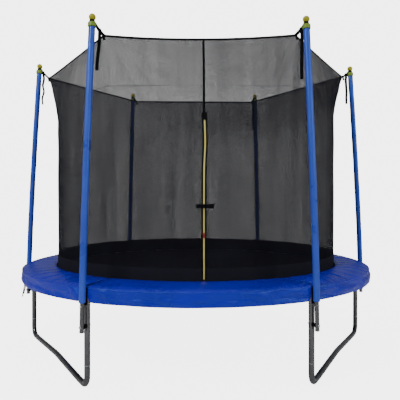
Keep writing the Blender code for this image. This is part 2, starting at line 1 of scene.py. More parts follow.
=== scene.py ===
from math import atan2, cos, degrees, exp, pi, radians, sin

import bmesh
import bpy
from mathutils import Matrix, Vector, noise


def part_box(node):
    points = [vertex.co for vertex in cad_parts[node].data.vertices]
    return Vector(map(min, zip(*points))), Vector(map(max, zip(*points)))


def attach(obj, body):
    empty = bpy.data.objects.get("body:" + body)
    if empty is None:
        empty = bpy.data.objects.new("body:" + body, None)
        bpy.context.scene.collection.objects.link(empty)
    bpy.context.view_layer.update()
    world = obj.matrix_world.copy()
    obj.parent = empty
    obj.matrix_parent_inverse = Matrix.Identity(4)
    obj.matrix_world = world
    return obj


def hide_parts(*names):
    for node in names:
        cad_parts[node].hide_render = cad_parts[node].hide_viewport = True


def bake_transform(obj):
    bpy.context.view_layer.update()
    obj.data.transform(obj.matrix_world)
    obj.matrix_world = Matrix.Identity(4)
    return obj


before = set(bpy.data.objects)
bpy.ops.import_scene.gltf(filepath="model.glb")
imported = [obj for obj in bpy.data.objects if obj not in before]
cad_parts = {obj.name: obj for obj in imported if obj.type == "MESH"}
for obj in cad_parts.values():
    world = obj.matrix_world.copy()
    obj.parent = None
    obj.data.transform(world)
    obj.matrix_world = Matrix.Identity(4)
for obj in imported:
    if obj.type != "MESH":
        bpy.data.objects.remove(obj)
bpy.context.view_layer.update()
up = Vector((0.0, 0.0, 1.0))

stationNames = ["front_left", "front_right", "right", "back_right", "back_left", "left"]
doorAngle = -88.7  # degrees from +X


# places round the frame

def outward(angle):
    return Vector((cos(radians(angle)), sin(radians(angle)), 0.0))


def sideways(angle):
    return Vector((-sin(radians(angle)), cos(radians(angle)), 0.0))


def polar(angle, radius, height):
    return outward(angle) * radius + up * height


def readStations():
    found = {}
    for name in stationNames:
        low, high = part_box(f"pole_cap_{name}")
        found[name] = degrees(atan2(low.y + high.y, low.x + high.x))
    return found


stations = readStations()

poleSettings = {
    "foot": (1.242, 0.314),     # radius and height of the lower end
    "tip": 1.991,
    "lean": 0.038,
    "bow": 0.0475,
    "knots": [0.314, 0.468, 0.76, 1.05, 1.34, 1.63, 1.9365, 1.991],
    "tube": 0.01175,
    "frameRadius": 1.199,
    "frameTube": 0.016,
}


def bentRadius(height):
    # a rod bent inward by its tip
    foot, rise = poleSettings["foot"]
    share = (height - rise) / (poleSettings["tip"] - rise)
    return foot - poleSettings["lean"] * share - poleSettings["bow"] * (3.0 * share ** 2 - share ** 3) / 2.0


def poleStretch(name, height):
    # ends of the straight stretch of a pole that a height lies in
    knots = poleSettings["knots"]
    above = [k for k in knots[1:-1] if k >= height]
    high = above[0] if above else knots[-1]
    low = knots[knots.index(high) - 1]
    return polar(stations[name], bentRadius(low), low), polar(stations[name], bentRadius(high), high)


def onPole(name, height):
    # a point on a pole's centre line at a height
    low, high = poleStretch(name, height)
    return low.lerp(high, (height - low.z) / (high.z - low.z))


def leanAt(name, height):
    low, high = poleStretch(name, height)
    return (high - low).normalized()


def wobble(x, y, z=0.0):
    return noise.noise(Vector((x, y, z)))


# camera, backdrop and light

view = {
    "place": (-0.0726, -3.6418, 1.017),
    "yaw": 1.59,       # degrees towards +X
    "pitch": -0.20,
    "lens": 43.91,
    "backdropGlow": 4.8,
    "throughNet": 0.98,    # the backdrop's strength behind a see-through layer
    "ambient": 0.24,
    "floorRadius": 9.0,
    "floorGlow": 4.4,
    "floorFade": (1.4, 4.0),    # where the floor turns into the backdrop
}


def makeCamera():
    camera = bpy.data.objects.new("viewCamera", bpy.data.cameras.new("viewCamera"))
    bpy.context.scene.collection.objects.link(camera)
    camera.data.sensor_width = 36.0
    camera.data.lens = view["lens"]
    camera.location = view["place"]
    camera.rotation_euler = (radians(90.0 + view["pitch"]), 0.0, -radians(view["yaw"]))
    bpy.context.scene.camera = camera


def seenStrength(tree, direct, behindNet):
    # one strength when seen directly and another behind a see-through layer
    rays = tree.nodes.new("ShaderNodeLightPath")
    layers = tree.nodes.new("ShaderNodeMapRange")
    tree.links.new(rays.outputs["Transparent Depth"], layers.inputs["Value"])
    layers.inputs["To Min"].default_value = direct
    layers.inputs["To Max"].default_value = behindNet
    return layers.outputs["Result"], rays.outputs["Is Camera Ray"]


def makeWorld():
    world = bpy.data.worlds.new("paleStudio")
    bpy.context.scene.world = world
    world.use_nodes = True
    tree = world.node_tree
    tree.nodes.clear()
    output = tree.nodes.new("ShaderNodeOutputWorld")
    mix = tree.nodes.new("ShaderNodeMixShader")
    seen = tree.nodes.new("ShaderNodeBackground")
    seen.inputs["Color"].default_value = (1.0, 1.0, 1.0, 1.0)
    soft = tree.nodes.new("ShaderNodeBackground")
    soft.inputs["Color"].default_value = (0.93, 0.96, 1.0, 1.0)
    soft.inputs["Strength"].default_value = view["ambient"]
    strength, fromCamera = seenStrength(tree, view["backdropGlow"], view["throughNet"])
    tree.links.new(strength, seen.inputs["Strength"])
    tree.links.new(fromCamera, mix.inputs["Fac"])
    tree.links.new(soft.outputs["Background"], mix.inputs[1])
    tree.links.new(seen.outputs["Background"], mix.inputs[2])
    tree.links.new(mix.outputs["Shader"], output.inputs["Surface"])


def makeLight(name, place, target, size, power, colour=(1.0, 1.0, 1.0)):
    lamp = bpy.data.lights.new(name, "AREA")
    lamp.shape = "RECTANGLE"
    lamp.size, lamp.size_y = size
    lamp.energy = power
    lamp.color = colour
    holder = bpy.data.objects.new(name, lamp)
    bpy.context.scene.collection.objects.link(holder)
    holder.location = place
    holder.rotation_euler = (Vector(target) - Vector(place)).to_track_quat("-Z", "Y").to_euler()


def makeLights():
    makeLight("keySoftbox", (-3.2, -4.2, 4.2), (0.0, -0.3, 0.7), (2.2, 2.2), 165.0)
    makeLight("fillSoftbox", (4.2, -3.4, 2.6), (0.2, 0.0, 0.7), (1.6, 2.4), 70.0)
    makeLight("topSoftbox", (0.0, 0.6, 5.0), (0.0, 0.0, 0.5), (3.0, 3.0), 70.0)


print("stage: camera, world and light")
makeCamera()
makeWorld()
makeLights()


# mesh helpers

def finishMesh(name, vertices, faces, uvs=None, sharpAngle=40.0):
    mesh = bpy.data.meshes.new(name)
    mesh.from_pydata([tuple(v) for v in vertices], [], faces)
    if uvs is not None:
        layer = mesh.uv_layers.new(name="metres")
        loopUvs = [c for face in mesh.polygons for v in face.vertices for c in uvs[v]]
        layer.data.foreach_set("uv", loopUvs)
    mesh.shade_smooth()
    mesh.set_sharp_from_angle(angle=radians(sharpAngle))
    mesh.update()
    return mesh


def gridMesh(name, rows, closeRows=False, closeColumns=False, uvs=None, caps=False, sharpAngle=40.0):
    # rows of points, all of one length, skinned with quads
    count, across = len(rows), len(rows[0])
    vertices = [p for row in rows for p in row]
    faces = []
    for i in range(count if closeRows else count - 1):
        n = (i + 1) % count
        for k in range(across if closeColumns else across - 1):
            m = (k + 1) % across
            faces.append((i * across + k, i * across + m, n * across + m, n * across + k))
    if caps:
        faces.append(tuple(reversed(range(across))))
        faces.append(tuple(range((count - 1) * across, count * across)))
    flat = None if uvs is None else [c for row in uvs for c in row]
    return finishMesh(name, vertices, faces, flat, sharpAngle)


def travel(path):
    # distance along a path to each of its points
    run = [0.0]
    for a, b in zip(path, path[1:]):
        run.append(run[-1] + (b - a).length)
    return run


def smoothPath(points, spacing):
    # a Catmull-Rom curve through the points, read at about one spacing
    ends = [points[0] * 2.0 - points[1]] + points + [points[-1] * 2.0 - points[-2]]
    read = []
    for a, b, c, d in zip(ends, ends[1:], ends[2:], ends[3:]):
        count = max(1, round((c - b).length / spacing))
        for i in range(count):
            t = i / count
            read.append(0.5 * (2.0 * b + (c - a) * t + (2.0 * a - 5.0 * b + 4.0 * c - d) * t * t
                               + (3.0 * b - a - 3.0 * c + d) * t ** 3))
    return read + [points[-1]]


def pathFrames(path, firstSide=None, closed=False):
    # heading, side and normal at each point, carried along without twist
    frames = []
    side = firstSide
    count = len(path)
    for i in range(count):
        if closed:
            heading = (path[(i + 1) % count] - path[i - 1]).normalized()
        else:
            heading = (path[min(i + 1, count - 1)] - path[max(i - 1, 0)]).normalized()
        if side is None:
            side = heading.orthogonal()
        side = (side - heading * side.dot(heading)).normalized()
        frames.append((heading, side, heading.cross(side)))
    return frames


def sweptMesh(name, path, outline, firstSide=None, closed=False, caps=True, sharpAngle=40.0):
    # outline(i, share) gives (side, normal) offsets round the path
    frames = pathFrames(path, firstSide, closed)
    run = travel(path)
    rows, uvs = [], []
    for i, (point, (_, side, normal)) in enumerate(zip(path, frames)):
        around = outline(i, run[i] / max(run[-1], 1e-9))
        rows.append([point + side * a + normal * b for a, b in around])
        uvs.append([(run[i], 0.004 * k) for k in range(len(around))])
    return gridMesh(name, rows, closed, True, uvs, caps and not closed, sharpAngle)


def roundOutline(radius, sides):
    ring = [(radius * cos(2 * pi * k / sides), radius * sin(2 * pi * k / sides)) for k in range(sides)]
    return lambda i, share: ring


def flatOutline(width, thick, lip=0.3):
    # a strap's section, with its long edges rounded
    a, b = width / 2.0, thick / 2.0
    c = b * lip
    ring = [(-a, -c), (-a + b, -b), (0.0, -b), (a - b, -b), (a, -c),
            (a, c), (a - b, b), (0.0, b), (-a + b, b), (-a, c)]
    return lambda i, share: ring


def turnedMesh(name, profile, base, axis, segments=40, sharpAngle=40.0):
    # profile of (height along axis, radius), turned about the axis; both ends close to a point
    side = axis.orthogonal().normalized()
    normal = axis.cross(side)
    rows = []
    for height, radius in profile:
        centre = base + axis * height
        r = max(radius, 1e-5)
        rows.append([centre + side * r * cos(2 * pi * k / segments) + normal * r * sin(2 * pi * k / segments)
                     for k in range(segments)])
    return gridMesh(name, rows, False, True, None, True, sharpAngle)


def boxMesh(name, low, high, bevel, matrix=None, segments=2):
    bm = bmesh.new()
    bmesh.ops.create_cube(bm, size=1.0)
    for v in bm.verts:
        v.co = Vector([low[i] + (v.co[i] + 0.5) * (high[i] - low[i]) for i in range(3)])
    bmesh.ops.bevel(bm, geom=bm.edges[:], offset=bevel, segments=segments, profile=0.6, affect="EDGES")
    if matrix is not None:
        bm.transform(matrix)
    mesh = bpy.data.meshes.new(name)
    bm.to_mesh(mesh)
    bm.free()
    mesh.shade_smooth()
    mesh.set_sharp_from_angle(angle=radians(50.0))
    return mesh


def fixNormals(mesh, closeEnds=False):
    bm = bmesh.new()
    bm.from_mesh(mesh)
    if closeEnds:
        bmesh.ops.holes_fill(bm, edges=[e for e in bm.edges if e.is_boundary], sides=0)
    bmesh.ops.recalc_face_normals(bm, faces=bm.faces)
    bm.to_mesh(mesh)
    bm.free()


def joinMeshes(name, meshes):
    bm = bmesh.new()
    for part in meshes:
        bm.from_mesh(part)
        bpy.data.meshes.remove(part)
    mesh = bpy.data.meshes.new(name)
    bm.to_mesh(mesh)
    bm.free()
    return mesh


def addPiece(name, mesh, material, body=None, replaced=()):
    piece = bpy.data.objects.new(name, mesh)
    bpy.context.scene.collection.objects.link(piece)
    mesh.materials.clear()
    mesh.materials.append(material)
    if body:
        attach(piece, body)
    if replaced:
        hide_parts(*replaced)
    return piece


# shader groups

def newGroup(name, inputs, outputs):
    group = bpy.data.node_groups.new(name, "ShaderNodeTree")
    for label, value in inputs:
        kind = "NodeSocketVector" if value is None else "NodeSocketFloat"
        socket = group.interface.new_socket(label, in_out="INPUT", socket_type=kind)
        if value is not None:
            socket.default_value = value
    for label in outputs:
        group.interface.new_socket(label, in_out="OUTPUT", socket_type="NodeSocketFloat")
    return group, group.nodes.new("NodeGroupInput"), group.nodes.new("NodeGroupOutput")


def mathNode(tree, operation, first, second=None, third=None, clamp=False):
    node = tree.nodes.new("ShaderNodeMath")
    node.operation = operation
    node.use_clamp = clamp
    for socket, value in zip(node.inputs, (first, second, third)):
        if value is None:
            continue
        if isinstance(value, (int, float)):
            socket.default_value = value
        else:
            tree.links.new(value, socket)
    return node.outputs[0]


def noiseNode(tree, vector, scale, detail=3.0, roughness=0.5, distortion=0.0):
    node = tree.nodes.new("ShaderNodeTexNoise")
    node.inputs["Detail"].default_value = detail
    node.inputs["Roughness"].default_value = roughness
    node.inputs["Distortion"].default_value = distortion
    tree.links.new(vector, node.inputs["Vector"])
    if isinstance(scale, (int, float)):
        node.inputs["Scale"].default_value = scale
    else:
        tree.links.new(scale, node.inputs["Scale"])
    return node.outputs["Fac"]


def makeWornGroup():
    # slow patches and fine specks: what handling and weather leave on any surface
    sockets = [("Vector", None), ("Patch Scale", 6.0), ("Speck Scale", 300.0)]
    tree, given, result = newGroup("wornPatches", sockets, ["Patches", "Specks"])
    patches = noiseNode(tree, given.outputs["Vector"], given.outputs["Patch Scale"], 4.0, 0.6)
    specks = noiseNode(tree, given.outputs["Vector"], given.outputs["Speck Scale"], 2.0, 0.7)
    wide = mathNode(tree, "MULTIPLY_ADD", patches, 2.2, -0.6, clamp=True)
    tree.links.new(wide, result.inputs["Patches"])
    tree.links.new(specks, result.inputs["Specks"])
    return tree


def makeWeaveGroup():
    # over-and-under threads of a plain weave, from coordinates in metres
    tree, given, result = newGroup("plainWeave", [("Vector", None), ("Threads", 600.0)], ["Height", "Shade"])
    split = tree.nodes.new("ShaderNodeSeparateXYZ")
    tree.links.new(given.outputs["Vector"], split.inputs[0])
    u = mathNode(tree, "MULTIPLY", split.outputs[0], given.outputs["Threads"])
    v = mathNode(tree, "MULTIPLY", split.outputs[1], given.outputs["Threads"])
    ridgeU = mathNode(tree, "ABSOLUTE", mathNode(tree, "SINE", mathNode(tree, "MULTIPLY", u, pi)))
    ridgeV = mathNode(tree, "ABSOLUTE", mathNode(tree, "SINE", mathNode(tree, "MULTIPLY", v, pi)))
    steps = mathNode(tree, "ADD", mathNode(tree, "FLOOR", u), mathNode(tree, "FLOOR", v))
    parity = mathNode(tree, "ABSOLUTE", mathNode(tree, "MODULO", steps, 2.0))
    over = mathNode(tree, "MULTIPLY", ridgeU, mathNode(tree, "SUBTRACT", 1.0, parity))
    under = mathNode(tree, "MULTIPLY", ridgeV, parity)
    height = mathNode(tree, "ADD", over, under)
    tree.links.new(height, result.inputs["Height"])
    shade = mathNode(tree, "MULTIPLY_ADD", height, 0.35, 0.65)
    tree.links.new(shade, result.inputs["Shade"])
    return tree


def makeMeshGroup():
    # knitted net: threads on two slanting families, with eyelets between them. Slow upright streaks and
    # the folds that run out from each corner close the eyelets a little
    sockets = [("Vector", None), ("Pitch", 0.004), ("Cover", 0.55), ("Streaks", 0.1), ("Folds", 0.1),
               ("Side", 1.0), ("Top", 1.9)]
    tree, given, result = newGroup("knittedNet", sockets, ["Thread"])
    split = tree.nodes.new("ShaderNodeSeparateXYZ")
    tree.links.new(given.outputs["Vector"], split.inputs[0])
    along, height = split.outputs[0], split.outputs[1]
    slow = tree.nodes.new("ShaderNodeCombineXYZ")
    tree.links.new(mathNode(tree, "MULTIPLY", along, 13.0), slow.inputs[0])
    tree.links.new(mathNode(tree, "MULTIPLY", height, 0.6), slow.inputs[1])
    streaks = mathNode(tree, "SUBTRACT", noiseNode(tree, slow.outputs[0], 1.0, 3.0, 0.55), 0.5)
    cover = mathNode(tree, "MULTIPLY_ADD", streaks, given.outputs["Streaks"], given.outputs["Cover"])

    fromCorner = mathNode(tree, "PINGPONG", along, mathNode(tree, "MULTIPLY", given.outputs["Side"], 0.5))
    below = mathNode(tree, "SUBTRACT", given.outputs["Top"], height)
    spoke = mathNode(tree, "ARCTAN2", fromCorner, mathNode(tree, "ADD", below, 0.02))
    squares = mathNode(tree, "ADD", mathNode(tree, "MULTIPLY", fromCorner, fromCorner),
                       mathNode(tree, "MULTIPLY", below, below))
    reach = mathNode(tree, "POWER", squares, 0.5)
    fan = tree.nodes.new("ShaderNodeCombineXYZ")
    tree.links.new(mathNode(tree, "MULTIPLY", spoke, 7.0), fan.inputs[0])
    tree.links.new(mathNode(tree, "MULTIPLY", along, 0.9), fan.inputs[1])
    tree.links.new(mathNode(tree, "MULTIPLY", reach, 2.0), fan.inputs[2])
    rays = noiseNode(tree, fan.outputs[0], 1.0, 2.0, 0.5, 0.4)
    folds = mathNode(tree, "MULTIPLY_ADD", rays, 4.0, -2.0, clamp=True)
    fade = mathNode(tree, "EXPONENT", mathNode(tree, "MULTIPLY", reach, -3.2))
    faded = mathNode(tree, "MULTIPLY", folds, fade)
    cover = mathNode(tree, "ADD", cover, mathNode(tree, "MULTIPLY", faded, given.outputs["Folds"]))

    masks = []
    for operation in ("ADD", "SUBTRACT"):
        way = mathNode(tree, operation, along, height)
        cell = mathNode(tree, "FRACT", mathNode(tree, "DIVIDE", way, given.outputs["Pitch"]))
        masks.append(mathNode(tree, "LESS_THAN", cell, cover))
    tree.links.new(mathNode(tree, "MAXIMUM", *masks), result.inputs["Thread"])
    return tree


wornGroup = makeWornGroup()
weaveGroup = makeWeaveGroup()
netGroup = makeMeshGroup()


# materials

def newMaterial(name, colour, roughness, metallic=0.0, **extra):
    made = bpy.data.materials.new(name)
    made.use_nodes = True
    shader = made.node_tree.nodes["Principled BSDF"]
    shader.inputs["Base Color"].default_value = (*colour, 1.0)
    shader.inputs["Roughness"].default_value = roughness
    shader.inputs["Metallic"].default_value = metallic
    for label, value in extra.items():
        shader.inputs[label.replace("_", " ")].default_value = value
    return made, made.node_tree, shader


def coordinates(tree, kind="Object"):
    return tree.nodes.new("ShaderNodeTexCoord").outputs[kind]


def placeGroup(tree, group, vector, **values):
    node = tree.nodes.new("ShaderNodeGroup")
    node.node_tree = group
    tree.links.new(vector, node.inputs["Vector"])
    for label, value in values.items():
        node.inputs[label.replace("_", " ")].default_value = value
    return node


def mixColour(tree, factor, first, second):
    node = tree.nodes.new("ShaderNodeMix")
    node.data_type = "RGBA"
    for socket, value in ((node.inputs[0], factor), (node.inputs[6], first), (node.inputs[7], second)):
        if isinstance(value, tuple):
            socket.default_value = (*value, 1.0)
        elif isinstance(value, float):
            socket.default_value = value
        else:
            tree.links.new(value, socket)
    return node.outputs[2]


def ranged(tree, value, low, high, fromLow=0.0, fromHigh=1.0):
    # a value from one range spread over another
    node = tree.nodes.new("ShaderNodeMapRange")
    tree.links.new(value, node.inputs["Value"])
    node.inputs["From Min"].default_value = fromLow
    node.inputs["From Max"].default_value = fromHigh
    node.inputs["To Min"].default_value = low
    node.inputs["To Max"].default_value = high
    return node.outputs["Result"]


def addBump(tree, shader, height, strength, distance):
    node = tree.nodes.new("ShaderNodeBump")
    node.inputs["Strength"].default_value = strength
    node.inputs["Distance"].default_value = distance
    tree.links.new(height, node.inputs["Height"])
    tree.links.new(node.outputs["Normal"], shader.inputs["Normal"])


def galvanisedMaterial():
    made, tree, shader = newMaterial("galvanisedTube", (0.2, 0.2, 0.21), 0.36, 0.95)
    where = coordinates(tree)
    worn = placeGroup(tree, wornGroup, where, Patch_Scale=9.0, Speck_Scale=420.0)
    crystals = tree.nodes.new("ShaderNodeTexVoronoi")
    crystals.inputs["Scale"].default_value = 210.0
    tree.links.new(where, crystals.inputs["Vector"])
    grey = mixColour(tree, worn.outputs["Patches"], (0.060, 0.056, 0.062), (0.150, 0.140, 0.154))
    spangle = mixColour(tree, 0.09, grey, crystals.outputs["Color"])
    plain = tree.nodes.new("ShaderNodeHueSaturation")
    plain.inputs["Saturation"].default_value = 0.30
    tree.links.new(spangle, plain.inputs["Color"])
    tree.links.new(plain.outputs["Color"], shader.inputs["Base Color"])
    tree.links.new(ranged(tree, worn.outputs["Patches"], 0.16, 0.27), shader.inputs["Roughness"])
    addBump(tree, shader, worn.outputs["Specks"], 0.07, 0.0003)
    return made


def springMaterial():
    made, tree, shader = newMaterial("zincPlatedWire", (0.55, 0.55, 0.57), 0.3, 1.0)
    worn = placeGroup(tree, wornGroup, coordinates(tree), Patch_Scale=30.0, Speck_Scale=600.0)
    tree.links.new(mixColour(tree, worn.outputs["Patches"], (0.40, 0.39, 0.38), (0.62, 0.62, 0.64)),
                   shader.inputs["Base Color"])
    tree.links.new(ranged(tree, worn.outputs["Specks"], 0.24, 0.42), shader.inputs["Roughness"])
    return made


def coatedClothMaterial(name, dark, light, roughness, weaveBump, patchScale, creaseDepth):
    # PVC-coated cloth: a glossy skin that shows a little of its weave and many small creases
    made, tree, shader = newMaterial(name, light, roughness, Specular_IOR_Level=0.75,
                                     Specular_Tint=(0.30, 0.62, 1.0, 1.0))
    where = coordinates(tree)
    worn = placeGroup(tree, wornGroup, where, Patch_Scale=patchScale, Speck_Scale=260.0)
    tree.links.new(mixColour(tree, worn.outputs["Patches"], dark, light), shader.inputs["Base Color"])
    tree.links.new(ranged(tree, worn.outputs["Patches"], roughness - 0.06, roughness + 0.10),
                   shader.inputs["Roughness"])
    weave = placeGroup(tree, weaveGroup, coordinates(tree, "UV"), Threads=900.0)
    creases = noiseNode(tree, where, 26.0, 4.0, 0.55, 0.6)
    fine = mathNode(tree, "MULTIPLY", weave.outputs["Height"], weaveBump)
    addBump(tree, shader, mathNode(tree, "ADD", fine, creases), 0.35, creaseDepth)
    return made


def plasticMaterial(name, dark, light, roughness, gloss=0.35):
    made, tree, shader = newMaterial(name, light, roughness, Specular_IOR_Level=gloss)
    worn = placeGroup(tree, wornGroup, coordinates(tree), Patch_Scale=40.0, Speck_Scale=900.0)
    tree.links.new(mixColour(tree, worn.outputs["Patches"], dark, light), shader.inputs["Base Color"])
    tree.links.new(ranged(tree, worn.outputs["Patches"], roughness - 0.05, roughness + 0.10),
                   shader.inputs["Roughness"])
    addBump(tree, shader, worn.outputs["Specks"], 0.15, 0.0003)
    return made


def webbingMaterial(name, dark, light, threads=480.0):
    made, tree, shader = newMaterial(name, dark, 0.85, Specular_IOR_Level=0.12)
    weave = placeGroup(tree, weaveGroup, coordinates(tree, "UV"), Threads=threads)
    tree.links.new(mixColour(tree, weave.outputs["Shade"], dark, light), shader.inputs["Base Color"])
    addBump(tree, shader, weave.outputs["Height"], 0.6, 0.0006)
    return made


def matMaterial():
    made, tree, shader = newMaterial("wovenMat", (0.006, 0.006, 0.008), 0.75, Specular_IOR_Level=0.12)
    where = coordinates(tree)
    weave = placeGroup(tree, weaveGroup, where, Threads=420.0)
    worn = placeGroup(tree, wornGroup, where, Patch_Scale=2.2, Speck_Scale=90.0)
    tone = mixColour(tree, worn.outputs["Patches"], (0.007, 0.006, 0.008), (0.016, 0.014, 0.018))
    thread = mixColour(tree, weave.outputs["Shade"], (0.002, 0.002, 0.003), tone)
    tree.links.new(thread, shader.inputs["Base Color"])
    tree.links.new(ranged(tree, worn.outputs["Specks"], 0.55, 0.75), shader.inputs["Roughness"])
    addBump(tree, shader, weave.outputs["Height"], 0.5, 0.0006)
    return made


netLook = {
    "pitch": 0.0036,
    "cover": 0.492,
    "edgeCover": 0.27,
    "streaks": 0.27,
    "folds": 0.12,
    "side": radians(60.0) * 0.988,
    "top": 1.919,
    # near its top the net is made more opaque toward +X: (x, x, z, z, more cover)
    "opaqueTowardPlusX": (-0.50, 0.25, 1.50, 1.72, 0.100),
}


def netMaterial():
    made, tree, shader = newMaterial("knittedNet", (0.010, 0.010, 0.013), 0.9, Specular_IOR_Level=0.06)
    where = coordinates(tree, "UV")
    holes = placeGroup(tree, netGroup, where, Pitch=netLook["pitch"], Streaks=netLook["streaks"],
                       Folds=netLook["folds"], Side=netLook["side"], Top=netLook["top"])
    # threads hide the eyelets behind them when the net is seen edge-on
    turned = tree.nodes.new("ShaderNodeLayerWeight")
    turned.inputs["Blend"].default_value = 0.5
    edge = mathNode(tree, "POWER", turned.outputs["Facing"], 3.0)
    place = tree.nodes.new("ShaderNodeSeparateXYZ")
    tree.links.new(coordinates(tree), place.inputs[0])
    left, right, low, high, most = netLook["opaqueTowardPlusX"]
    across = ranged(tree, place.outputs["X"], 0.0, most, left, right)
    near = mathNode(tree, "MULTIPLY", across, ranged(tree, place.outputs["Z"], 0.0, 1.0, low, high))
    cover = mathNode(tree, "MULTIPLY_ADD", edge, netLook["edgeCover"], netLook["cover"])
    tree.links.new(mathNode(tree, "ADD", cover, near), holes.inputs["Cover"])
    worn = placeGroup(tree, wornGroup, where, Patch_Scale=3.0, Speck_Scale=60.0)
    tree.links.new(mixColour(tree, worn.outputs["Patches"], (0.007, 0.007, 0.010), (0.013, 0.013, 0.018)),
                   shader.inputs["Base Color"])
    tree.links.new(holes.outputs["Thread"], shader.inputs["Alpha"])
    return made


print("stage: materials")
materials = {
    "steel": galvanisedMaterial(),
    "spring": springMaterial(),
    "pad": coatedClothMaterial("bluePadCloth", (0.010, 0.007, 0.40), (0.016, 0.012, 0.58),
                               0.27, 0.10, 3.0, 0.0045),
    "foam": coatedClothMaterial("blueSleeveCloth", (0.036, 0.076, 0.48), (0.050, 0.104, 0.63),
                                0.29, 0.08, 5.0, 0.0018),
    # also used for the dark strips in the pad's seams, which are painted shade
    "padEdge": webbingMaterial("darkBlueBindingAndSeamShade", (0.003, 0.008, 0.07), (0.006, 0.016, 0.13)),
    "cap": plasticMaterial("oliveYellowPlastic", (0.34, 0.31, 0.015), (0.46, 0.42, 0.03), 0.34),
    "collar": plasticMaterial("oliveGreenPlastic", (0.17, 0.27, 0.025), (0.24, 0.35, 0.035), 0.38),
    "plastic": plasticMaterial("blackPlastic", (0.001, 0.001, 0.002), (0.003, 0.003, 0.005), 0.50, 0.09),
    "greyPlastic": plasticMaterial("greyPlastic", (0.10, 0.10, 0.11), (0.17, 0.17, 0.18), 0.40),
    # also used for the black sheets in the pad's slots, which are painted shade
    "webbing": webbingMaterial("blackWebbingAndSlotShade", (0.001, 0.001, 0.001), (0.005, 0.005, 0.006)),
    "mat": matMaterial(),
    "net": netMaterial(),
    "tape": webbingMaterial("blackZipTape", (0.002, 0.002, 0.002), (0.007, 0.007, 0.007), 900.0),
    "chain": plasticMaterial("yellowChain", (0.66, 0.55, 0.11), (0.88, 0.77, 0.24), 0.45),
    "hemCloth": webbingMaterial("blackHemCloth", (0.005, 0.005, 0.007), (0.018, 0.018, 0.024)),
    "red": plasticMaterial("redEnamel", (0.17, 0.012, 0.008), (0.27, 0.020, 0.014), 0.34),
}


# loose ends of the straps, as cords

tailSettings = {
    "width": 0.0185,
    "thick": 0.0020,
    # how far from the cap's neck to the net's corner each tail hangs
    "knotShare": {"front_left": 0.55, "front_right": 0.38, "right": 0.45,
                  "back_right": 0.45, "back_left": 0.45, "left": 0.30},
    "lengths": {"front_left": 0.220, "front_right": 0.276, "right": 0.220,
                "back_right": 0.280, "left": 0.235},
    # how far each tail strays along world X at even steps down its length
    "sway": {
        "front_left": (0.004, 0.003, 0.000, -0.005, -0.009, -0.012),
        "front_right": (0.000, 0.001, 0.002, 0.001, 0.000, 0.001),
        "right": (0.000, -0.003, 0.001, 0.003, 0.001, 0.003),
        "back_right": (0.000, 0.002, 0.001, -0.002, -0.001, 0.000),
        "left": (0.000, 0.006, -0.003, 0.005, -0.006, -0.004),
    },
    "turn": {"front_left": 6.0, "front_right": -8.0, "right": 0.0, "back_right": 0.0, "left": 58.0},
    "neckHeight": 1.969,
    "neckRadius": 0.0132,
    "cornerRadius": 1.078,
    "cornerHeight": 1.919,
    # (outward, up) by which each corner of the cloth hangs off the even ring
    "cornerShift": {"front_left": (-0.016, 0.0), "front_right": (-0.003, 0.008), "right": (0.022, 0.010),
                    "back_right": (0.0, 0.0), "back_left": (0.0, 0.0), "left": (0.011, -0.015)},
}


def cornerOf(name):
    shift = tailSettings["cornerShift"][name]
    return tailSettings["cornerRadius"] + shift[0], tailSettings["cornerHeight"] + shift[1]


def strapEnds(name):
    # the neck's side of a strap and the net's corner, as world points
    angle = stations[name]
    neck = onPole(name, tailSettings["neckHeight"]) - outward(angle) * (tailSettings["neckRadius"] - 0.002)
    radius, height = cornerOf(name)
    return neck, polar(angle, radius + 0.0027, height + 0.002)


def tailRoute(name):
    neck, corner = strapEnds(name)
    top = neck.lerp(corner, tailSettings["knotShare"][name]) - up * 0.006
    sway = tailSettings["sway"][name]
    points = []
    for i, along in enumerate(sway):
        drop = tailSettings["lengths"][name] * i / (len(sway) - 1)
        points.append(top - up * drop + Vector((along, -0.004 - 0.002 * sin(i * 2.1), 0.0)))
    return smoothPath(points, 0.008)


def makeTail(name):
    path = tailRoute(name)
    turn = radians(tailSettings["turn"][name])
    across = Vector((cos(turn), sin(turn), 0.0))
    flat = flatOutline(tailSettings["width"], tailSettings["thick"])

    def outline(i, share):
        # the strap turns slowly about its own length as it hangs
        swing = radians(9.0) * sin(share * 4.0 + turn)
        c, s = cos(swing), sin(swing)
        return [(a * c - b * s, a * s + b * c) for a, b in flat(i, share)]

    mesh = sweptMesh(f"strapTail_{name}", path, outline, across, sharpAngle=60.0)
    tail = addPiece(f"strapTail_{name}", mesh, materials["webbing"], "frame",
                    [f"strap_tail_{name}"])


print("stage: loose strap ends")
for name in tailSettings["lengths"]:
    makeTail(name)


# straps from the caps to the net

strapSettings = {
    "front": (0.0195, 0.0085),      # width and thickness of the gathered strap
    "other": (0.0135, 0.0075),
    "stub": 0.028,
    "stubWidth": 0.0145,
    "knot": 0.0105,
    "band": (0.0136, 0.0050),
    "bandRadius": 0.0130,
}


